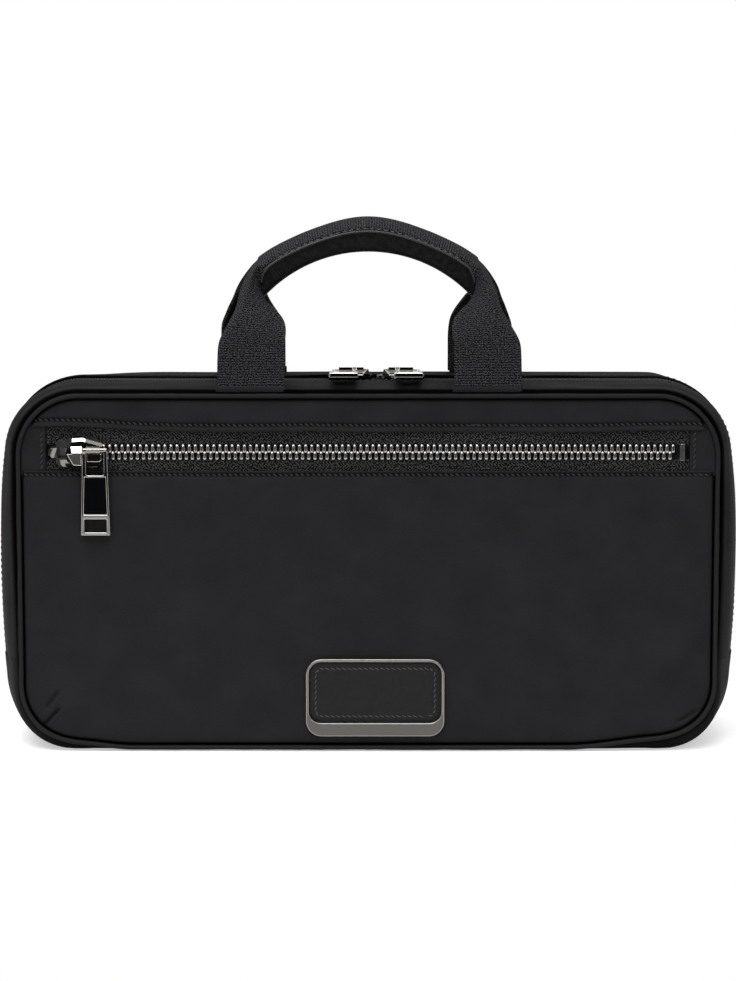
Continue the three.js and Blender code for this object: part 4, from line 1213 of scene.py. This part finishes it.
# Handle: each side is one webbing ribbon, flat at its feet and folded lengthwise over the grip
GRIP_HIGH = 0.0136
GRIP_CHORD, GRIP_RISE = 0.0926, 0.019
GRIP_RADIUS = ((GRIP_CHORD / 2) ** 2 + GRIP_RISE**2) / (2 * GRIP_RISE)
GRIP_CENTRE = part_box("grip_cover_upper")[1].z - GRIP_HIGH / 2 - GRIP_RADIUS
GRIP_END = math.asin(GRIP_CHORD / 2 / GRIP_RADIUS)
FOOT_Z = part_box("handle_strap_front")[0].z
CROWN_SLOPE = 0.003 / 0.013
GRIP_SIDE = 0.0129
TUCK_Z, BEND_Z = 0.1845, 0.1850
# A key has the fold line (x, distance from the middle plane, height), the inner edge likewise, and the fold
STRAP = [
    ((0.0623, 0.0331, FOOT_Z), (0.0345, 0.0331, FOOT_Z), 0),
    ((0.0613, 0.0333, 0.1605), (0.0345, 0.0333, 0.1605), 0),
    ((0.0602, 0.0333, 0.1700), (0.0346, 0.0333, 0.1698), 20),
    ((0.0586, 0.0324, 0.1775), (0.0356, 0.0324, 0.1762), 66),
    ((0.0561, 0.0302, 0.1838), (0.0382, 0.0290, 0.1815), 79),
    ((0.0530, 0.0266, 0.1898), (0.0412, 0.0242, 0.1862), 80),
    ((0.0503, 0.0224, 0.1948), (0.0432, 0.0194, 0.1892), 82),
    ((0.0483, 0.0182, 0.1992), (0.0441, 0.0154, 0.1912), 85),
    ((0.0464, 0.0152, 0.2026), (0.0442, 0.0132, 0.1932), 88),
]


def grip_taper(angle):
    """How much lower than in its middle the grip's top lies."""
    from_middle = np.abs(angle)
    return 0.0014 * smooth(0, 0.36, from_middle) - 0.0009 * smooth(0.42, 0.72, from_middle)


def on_grip(angle, out):
    radius = GRIP_RADIUS + out
    return radius * math.sin(angle), GRIP_CENTRE + radius * math.cos(angle)


def arch_station(angle):
    x, z = on_grip(angle, 0.0041 - grip_taper(angle))
    radial = np.array([math.sin(angle), 0, math.cos(angle)])
    back = np.array([0, -1, 0]) + radial * CROWN_SLOPE
    back /= np.linalg.norm(back)
    return np.concatenate([[x, GRIP_SIDE, z], -radial, [0.0080], back, [0.0133, 0.0006]])


def strap_station(fold_line, inner, fold):
    fold_line, inner = np.array(fold_line), np.array(inner)
    run = inner - fold_line
    front = np.linalg.norm(run)
    run /= front
    turned = math.radians(fold)
    back = -run * math.cos(turned) + np.array([0, -1, 0.05]) * math.sin(turned)
    width = max(0.0003, (RIBBON_WIDTH - front) * 0.86)
    return np.concatenate([fold_line, run, [front], back / np.linalg.norm(back), [width, 0]])


def catmull(keys, count):
    ends = np.concatenate([2 * keys[:1] - keys[1:2], keys, 2 * keys[-1:] - keys[-2:-1]])
    out = []
    for t in np.linspace(0, len(keys) - 1, count):
        k = min(int(t), len(keys) - 2)
        u = t - k
        a, b, c, d = ends[k : k + 4]
        bend, twist = 2 * a - 5 * b + 4 * c - d, 3 * b - 3 * c + d - a
        out.append(0.5 * (2 * b + (c - a) * u + bend * u**2 + twist * u**3))
    return np.array(out)


def ribbon_stations(shifts, tuck, trim):
    """The whole ribbon. shifts moves its left and right foot, tuck and trim pull its bends in."""
    arch = np.array([arch_station(a) for a in np.linspace(0.6, -0.6, 50)])
    keys = np.array([strap_station(*key) for key in STRAP] + [arch_station(0.68), arch_station(0.62)])
    right = catmull(keys, 110)
    height = right[:, 2].copy()
    pulled = tuck * hump(height - TUCK_Z, 0.0085)
    right[:, 0] -= pulled
    right[:, 6] += 1.65 * tuck * hump(height - BEND_Z, 0.0085) - pulled
    left = right[::-1].copy()
    left[:, [0, 3, 7]] *= -1
    left[:, 6] -= trim * hump(height[::-1] - BEND_Z, 0.0095)
    low = 1 - smooth(0.170, 0.198, height)
    right[:, 0] += shifts[1] * low
    left[:, 0] -= shifts[0] * low[::-1]
    return np.concatenate([right, arch, left])


def ribbon_section(station, side):
    """Points across the webbing, from its inner edge over the fold to its other edge."""
    fold_line, run, front = station[:3], station[3:6], station[6]
    back, width, bulge = station[7:10], station[10], station[11]
    run, back = run / np.linalg.norm(run), back / np.linalg.norm(back)
    out = []
    rounding = min(0.0011, width)
    for share in np.linspace(1, 0, 14):
        out.append(fold_line + run * (rounding + (front - rounding) * share))
    for share in np.linspace(0.2, 0.8, 4):
        out.append(fold_line + run * rounding * (1 - share) ** 2 + back * rounding * share**2)
    for share in np.linspace(0, 1, 12):
        spot = fold_line + back * (rounding + (width - rounding) * share)
        out.append(spot + np.array([0, 0, bulge * 4 * share * (1 - share)]))
    points = np.array(out)
    points[:, 1] *= side
    return points


def ribbon_piece(name, side, shifts, tuck, trim, *nodes):
    points = np.array([ribbon_section(station, side) for station in ribbon_stations(shifts, tuck, trim)])
    run = np.concatenate([[0], np.cumsum(np.linalg.norm(np.diff(points[:, 18], axis=0), axis=1))])
    across = np.cumsum(np.linalg.norm(np.diff(points, axis=1), axis=2), axis=1)
    across = np.concatenate([np.zeros((len(points), 1)), across], 1)
    uv = np.stack([np.repeat(run[:, None], across.shape[1], 1), across], 2)
    piece = grid(name, points, uv, webbing, flip=side < 0)
    thickened(piece, RIBBON_THICK)
    add_bevel(piece, 0.00045, 2, 50)
    stand_for(applied(piece), "webbing", *nodes)


ribbon_piece("handle_ribbon_front", -1, (0.0, 0.0012), 0.0022, 0.0, "handle_strap_front", "grip_cover_upper")
ribbon_piece("handle_ribbon_back", 1, (0.0010, -0.0002), 0.0, 0.0021, "handle_strap_back")


WELT_SIDE = 0.0140
LEATHER_END, LEATHER_CORNER = 0.0444, 0.0042
LEATHER_CAP = ((0.03, -0.0003), (0.09, -0.0001), (0.14, 0.0012))
LEATHER_LIP = (
    (0.0012, -0.0006), (0.0008, 0.0001), (0.0002, 0.0003), (-0.0003, 0),
    (-0.0004, -0.0005), (-0.0002, -0.0010), (0, -0.0014),
)


def grip_side(top_edge):
    """The leather's section in y and out: down one side, under the grip and up the other."""
    half, low, corner = 0.0137, -GRIP_HIGH / 2, 0.0034
    section = [(-half + inward, top_edge + up) for inward, up in LEATHER_LIP]
    section.append((-half, (top_edge + low + corner) / 2))
    for k in range(7):
        angle = math.pi + math.pi / 2 * k / 6
        section.append((-half + corner + corner * math.cos(angle), low + corner + corner * math.sin(angle)))
    for k in range(1, 6):
        section.append((-half + corner + 2 * (half - corner) * k / 6, low))
    return section + [(-y, out) for y, out in reversed(section[:15])]


def leather_top(share):
    """How far out the leather's top edge lies, at a share of the way from the middle to an end."""
    from_end = (1 - abs(share)) * LEATHER_END
    drop = LEATHER_CORNER - math.sqrt(max(0.0, LEATHER_CORNER**2 - max(0.0, LEATHER_CORNER - from_end) ** 2))
    return 0.0022 - 0.7 * float(grip_taper(abs(share) * 0.72)) - drop * 0.75


def leather_angle(share, out):
    return share * math.asin(min(1, LEATHER_END / (GRIP_RADIUS + out)))


def grip_welt(name, side, radius=0.00052, sides=8):
    """The rolled edge along the top of the leather, painted lighter as a painted highlight."""
    rings = []
    for share in np.sin(np.linspace(-1, 1, 121) * math.pi / 2):
        out = leather_top(share) - 0.0002
        ring = []
        for turn in np.arange(sides) * 2 * math.pi / sides:
            x, z = on_grip(leather_angle(share, out), out + radius * math.cos(turn))
            ring.append((x, side * (WELT_SIDE + radius * math.sin(turn)), z))
        rings.append(ring)
    points = np.array(rings)
    piece = grid(name, points, arc_uv(points, False, True), leather_welt_highlight, wrap_columns=True, flip=side < 0)
    stand_for(piece, "leather")


def leather_grip():
    rows = []
    for share in np.sin(np.linspace(-1, 1, 101) * math.pi / 2):
        row = []
        for y, out in grip_side(leather_top(share)):
            x, z = on_grip(leather_angle(share, out), out)
            row.append((x, y, z))
        rows.append(row)
    points = np.array(rows)
    for last, direction in ((False, 1), (True, -1)):
        edge = points[-1:] if last else points[:1]
        inward = edge.mean(1, keepdims=True) - edge
        rings = [edge + inward * share + np.array([direction * deep, 0, 0]) for share, deep in LEATHER_CAP]
        points = np.concatenate([points, *rings] if last else [*reversed(rings), points])
    x, y, z = points[:, :, 0], points[:, :, 1], points[:, :, 2]
    points[:, :, 1] += np.sign(y) * 0.00008 * noise2(x / 0.004, z / 0.003 + y / 0.005, 15)
    piece = grid("grip_leather", points, arc_uv(points), grip_hide, flip=True)
    stand_for(piece, "leather", "grip_cover_lower")


leather_grip()
grip_welt("grip_welt_front", -1)
grip_welt("grip_welt_back", 1)


def grip_core_piece():
    section = []
    for k in range(24):
        angle = 2 * math.pi * k / 24
        half, out = squared_off(math.cos(angle), 0.5), squared_off(math.sin(angle), 0.5)
        section.append((0.0108 * half, 0.0040 * out - 0.0024))
    rows = []
    for share in np.linspace(-1, 1, 41):
        squeeze = math.sqrt(max(0.02, 1 - max(0, abs(share) * 20 - 19) ** 2))
        row = []
        for y, out in section:
            x, z = on_grip(share * GRIP_END * 0.93, out * squeeze)
            row.append((x, y * squeeze, z))
        rows.append(row)
    points = np.array(rows)
    piece = grid("grip_padding", points, arc_uv(points, False, True), foam, wrap_columns=True)
    return stand_for(piece, "foam", "grip_core")


grip_core_piece()


def grip_stitches(name, side):
    path = []
    for angle in np.linspace(0.6, -0.6, 60):
        x, z = on_grip(angle, 0.0030 - grip_taper(angle))
        path.append((x, side * (GRIP_SIDE + 0.00005), z))
    stitch_row(name, path, (0.0, float(side), 0.0), thread_light, length=0.0022, gap=0.0007, slot="webbing")


grip_stitches("grip_stitches_front", -1)
grip_stitches("grip_stitches_back", 1)


FOOT_X = 0.049
FOOT_PROFILE = (
    (0.0312, -0.0006), (0.0333, -0.0006), (0.0335, 0.0004),
    (0.0335, 0.0012), (0.0333, 0.0018), (0.0322, 0.0018),
)


def foot_band(name, side, x):
    """The nylon edge that covers a strap's seam at its foot."""
    rows = []
    for px in x + np.linspace(-RIBBON_WIDTH / 2, RIBBON_WIDTH / 2, 24):
        wave = 0.00008 * math.sin(px * 900)
        rows.append([(px, side * (inward + wave), FOOT_Z + up) for inward, up in FOOT_PROFILE])
    points = np.array(rows)
    stand_for(grid(name, points, arc_uv(points), nylon, flip=side > 0), "nylon")


for side, where in ((-1, "front"), (1, "back")):
    for x, hand in ((-FOOT_X, "left"), (FOOT_X, "right")):
        foot_band(f"{where}_foot_band_{hand}", side, x)


# Badge
badge_low, badge_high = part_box("badge_frame")
leather_low, leather_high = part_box("badge_leather")
BADGE_X, BADGE_Z = (badge_low.x + badge_high.x) / 2, (badge_low.z + badge_high.z) / 2
half_u, half_v = (badge_high.x - badge_low.x) / 2, (badge_high.z - badge_low.z) / 2
window_half = half_u - 0.0012
window_low = leather_low.z - CLEAR - BADGE_Z
window_high = leather_high.z + CLEAR - BADGE_Z
plate = prism_mesh(round_outline(-half_u, -half_v, half_u, half_v, 0.0066, 10), 0, badge_high.y - badge_low.y)
window = round_outline(-window_half, window_low, window_half, window_high, 0.0052, 10)
opening = prism_mesh(window, 0.0003, 0.01)
badge_place = local_frame((BADGE_X, badge_high.y, BADGE_Z), *UPRIGHT)
frame_mesh = combined(plate, [opening])
# The frame's bevels get the painted highlight
badge = finish_mesh("badge_metal", frame_mesh, badge_metal, badge_place, 0.0004, 3, None, badge_painted_highlight)
stand_for(badge, "gunmetal", "badge_frame")


def badge_patch():
    """The leather in the frame's window, domed, with a groove and a stitch row along its edge."""
    low_x, high_x = BADGE_X - window_half + CLEAR, BADGE_X + window_half - CLEAR
    low_z, high_z = window_low + BADGE_Z + CLEAR, window_high + BADGE_Z - CLEAR
    radius, inset = 0.0049, 0.0026
    x = low_x + (high_x - low_x) * eased(90)
    inner = np.maximum(np.abs(x - BADGE_X) - ((high_x - low_x) / 2 - radius), 0)
    cut = (radius - np.sqrt(np.maximum(radius**2 - inner**2, 0)))[:, None]
    z = low_z + cut + (high_z - low_z - 2 * cut) * eased(48)[None, :]
    xx = np.repeat(x[:, None], 48, 1)
    sideways = np.minimum(xx - low_x, high_x - xx)
    rim = np.minimum(sideways, np.minimum(z - (low_z + cut), (high_z - cut) - z))
    dome = 0.0010 * smooth(0, 0.003, rim) + 0.0002 - 0.0005 * hump(rim - inset, 0.0006)
    points = np.stack([xx, badge_high.y - 0.0004 - dome, z], 2)
    stand_for(grid("badge_patch", points, points[:, :, ::2], leather), "leather", "badge_leather")
    loop = round_outline(low_x + inset, low_z + inset, high_x - inset, high_z - inset, 0.0028, 8)
    path = [(u, badge_high.y - 0.00145, v) for u, v in [*loop, loop[0]]]
    look = {"slot": "leather", "lift": -0.0001, "slant": 0.0007}
    stitch_row("badge_stitches", path, FORWARD, thread_light, 0.00024, **SHORT_STITCH, **look)


badge_patch()


# Inside pieces
def inner_sheet(name, node, look, slot, ripple, seed, slack=0.0):
    """A sheet inside the bag. slack is by how much it is thinner than its solid."""
    low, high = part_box(node)
    x = (2 * eased(80) - 1) * high.x
    z_low, z_high = span_at(x, HALF - high.x, 0, TOP)
    z = z_low[:, None] + (z_high - z_low)[:, None] * eased(40)[None, :]
    xx = np.repeat(x[:, None], 40, 1)
    yy = low.y + ripple * (1 + noise2(xx / 0.04, z / 0.03, seed))
    points = np.stack([xx, yy, z], 2)
    piece = grid(name, points, points[:, :, ::2], look)
    thickened(piece, high.y - low.y - 2 * ripple - slack)
    return stand_for(applied(piece), slot, node)


inner_sheet("pocket_back_cloth", "pocket_back_sheet", lining_cloth, "lining", 0.00008, 81)
inner_sheet("front_padding", "front_foam", foam, "foam", 0.0002, 82)
inner_sheet("front_lining_cloth", "front_lining", lining_cloth, "lining", 0.00008, 83)
inner_sheet("back_padding", "back_foam", foam, "foam", 0.0002, 84, 0.0007)
inner_sheet("back_lining_cloth", "back_lining", lining_cloth, "lining", 0.00008, 85)


def base_pieces():
    low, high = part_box("base_lining")
    x, y = np.meshgrid(np.linspace(low.x, high.x, 80), np.linspace(low.y, high.y, 30), indexing="ij")
    z = low.z + 0.0002 + 0.0001 * np.sin(x * 90) * np.cos(y * 160)
    cover = grid("base_cloth", np.stack([x, y, z], 2), np.stack([x, y], 2), lining_cloth)
    stand_for(cover, "lining", "base_lining")
    low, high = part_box("base_board")
    mesh = prism_mesh(round_outline(low.x, low.y, high.x, high.y, 0.008, 6), low.z, high.z)
    stiffener = finish_mesh("base_stiffener", mesh, board, Matrix.Identity(4), 0.0004)
    split_mesh(stiffener.data, (1, 0, 0), np.linspace(low.x, high.x, 30)[1:-1])
    stand_for(stiffener, "board", "base_board")


base_pieces()


# The filled bag's lower corners push out and lift at the front, and its shoulders droop at the back
def settled(x, y, z):
    """New x and z of points on the bag."""
    across, drop = np.abs(x) - (HALF - BOTTOM_RADIUS), BOTTOM_RADIUS - z
    far = np.maximum(np.hypot(across, drop), 1e-6)
    turn = np.where((across > 0) & (drop > 0), 2 * across * drop / far**2, 0)
    face = smooth(-0.0270, -0.0325, y)
    push = CORNER_PUSH * (1 - 0.3 * face) * turn**1.5 * smooth(0, BOTTOM_RADIUS, far) / far
    lifted = 0.0042 * smooth(0.083, 0.128, x) + 0.0024 * smooth(0.098, 0.126, -x)
    lifted = lifted * face * (1 - smooth(0.004, 0.055, z))
    droop = 0.0017 * hump(x + 0.121, 0.017) + 0.0022 * hump(x + 0.131, 0.012)
    droop = droop + 0.0020 * hump(x - 0.134, 0.008)
    droop = droop * smooth(0.014, 0.030, y) * smooth(0.115, 0.148, z)
    return x + np.sign(x) * push * across, z - push * drop - droop + lifted


SETTLED = ["pocket_cloth", "back_cloth", "pocket_back_cloth", "gusset_bottom_cloth"]
SETTLED += ["base_cloth", "base_stiffener"]
for side in ("front", "back"):
    SETTLED += [f"{side}_piping_cord", f"{side}_padding", f"{side}_seam_binding", f"{side}_lining_cloth"]
    SETTLED += [f"gusset_{side}_cloth", f"gusset_{side}_stitches"]
    SETTLED += [f"main_tape_{side}_cloth", f"main_coil_{side}_turns"]
for name in SETTLED:
    mesh = bpy.data.objects[name].data
    spots = spots_of(mesh)
    spots[:, 0], height = settled(*spots.T)
    spots[:, 2] = np.maximum(height, 0.00005)
    mesh.vertices.foreach_set("co", spots.ravel())


# Floor, light and camera
SOFT_STEP = {"interpolation_type": "SMOOTHSTEP"}


def floor_piece():
    """White paper that keeps the bag's shadow, ends before the bag and is plain white farther off."""
    reach = 60.0
    mesh = mesh_of("floor", at_height(rectangle(-reach, -reach, reach, reach), 0), [(0, 1, 2, 3)])
    light = {"Specular_IOR_Level": 0.1, "Emission_Color": (1, 1, 1, 1)}
    look = Look("floor_white", (0.8, 0.8, 0.8), 0.9, place="Object", **light)
    camera_ray, seen = look.seen_rays()
    paper = look.ramp(look.axis(1), *PAPER_EDGE, **SOFT_STEP)
    look.mixed(paper, (0.06, 0.06, 0.06, 1), (0.8, 0.8, 0.8, 1))
    extra = look.math("MULTIPLY", camera_ray, FLOOR_GLOW - MIRROR_GLOW)
    glow = look.math("MULTIPLY_ADD", seen, MIRROR_GLOW, extra)
    look.wire(look.math("MULTIPLY", glow, paper), "Emission Strength")
    narrowed = look.node("ShaderNodeVectorMath", {0: look.place, 1: (0.55, 1, 0)}, operation="MULTIPLY")
    length = look.node("ShaderNodeVectorMath", {0: narrowed.outputs[0]}, operation="LENGTH")
    far = look.ramp(length.outputs["Value"], *FLOOR_FADE, **SOFT_STEP)
    share = look.math("MULTIPLY", far, camera_ray)
    plain = look.node("ShaderNodeEmission").outputs[0]
    mix = look.node("ShaderNodeMixShader", {0: share, 1: look.shader.outputs[0], 2: plain})
    look.links.new(mix.outputs[0], look.nodes["Material Output"].inputs["Surface"])
    mesh.materials.append(look.made)
    placed("floor", mesh)


def world_light():
    """White to the camera. The room itself is bright overhead and falls off towards its walls."""
    world = bpy.data.worlds.new("world")
    bpy.context.scene.world = world
    wires = Wires(world)
    camera_ray, _ = wires.seen_rays()
    place = wires.node("ShaderNodeTexCoord").outputs["Generated"]
    split = wires.node("ShaderNodeSeparateXYZ", {0: place}).outputs
    lift = wires.math("MULTIPLY_ADD", split[1], 0.3, split[2])
    room = wires.ramp(lift, *ROOM_SPAN, ROOM_DARK, ROOM_LIGHT, **SOFT_STEP)
    back = wires.nodes["Background"].inputs
    back["Color"].default_value = (1, 1, 1, 1)
    wires.links.new(wires.math("MAXIMUM", room, camera_ray), back["Strength"])


def aimed(piece, place, aim):
    piece.location = place
    piece.rotation_euler = (Vector(aim) - Vector(place)).to_track_quat("-Z", "Y").to_euler()
    return piece


def lamp(name, place, size, power):
    data = bpy.data.lights.new(name, "AREA")
    data.shape = "RECTANGLE"
    data.size, data.size_y = size
    data.energy = power
    aimed(placed(name, data), place, (0, 0, 0.08))


floor_piece()
world_light()
lamp("lamp_top", (-0.25, -0.55, 1.35), (1.3, 0.8), 19)
lamp("lamp_left", (-0.7, -1.5, 0.55), (0.5, 0.7), 5)
lamp("lamp_right", (0.8, -1.5, 0.7), (0.5, 0.7), 3.5)

camera_data = bpy.data.cameras.new("camera")
camera_data.lens = LENS
camera_data.sensor_width = 36
bpy.context.scene.camera = aimed(placed("camera", camera_data), CAMERA_PLACE, CAMERA_AIM)
bpy.context.scene.view_settings.view_transform = "Standard"
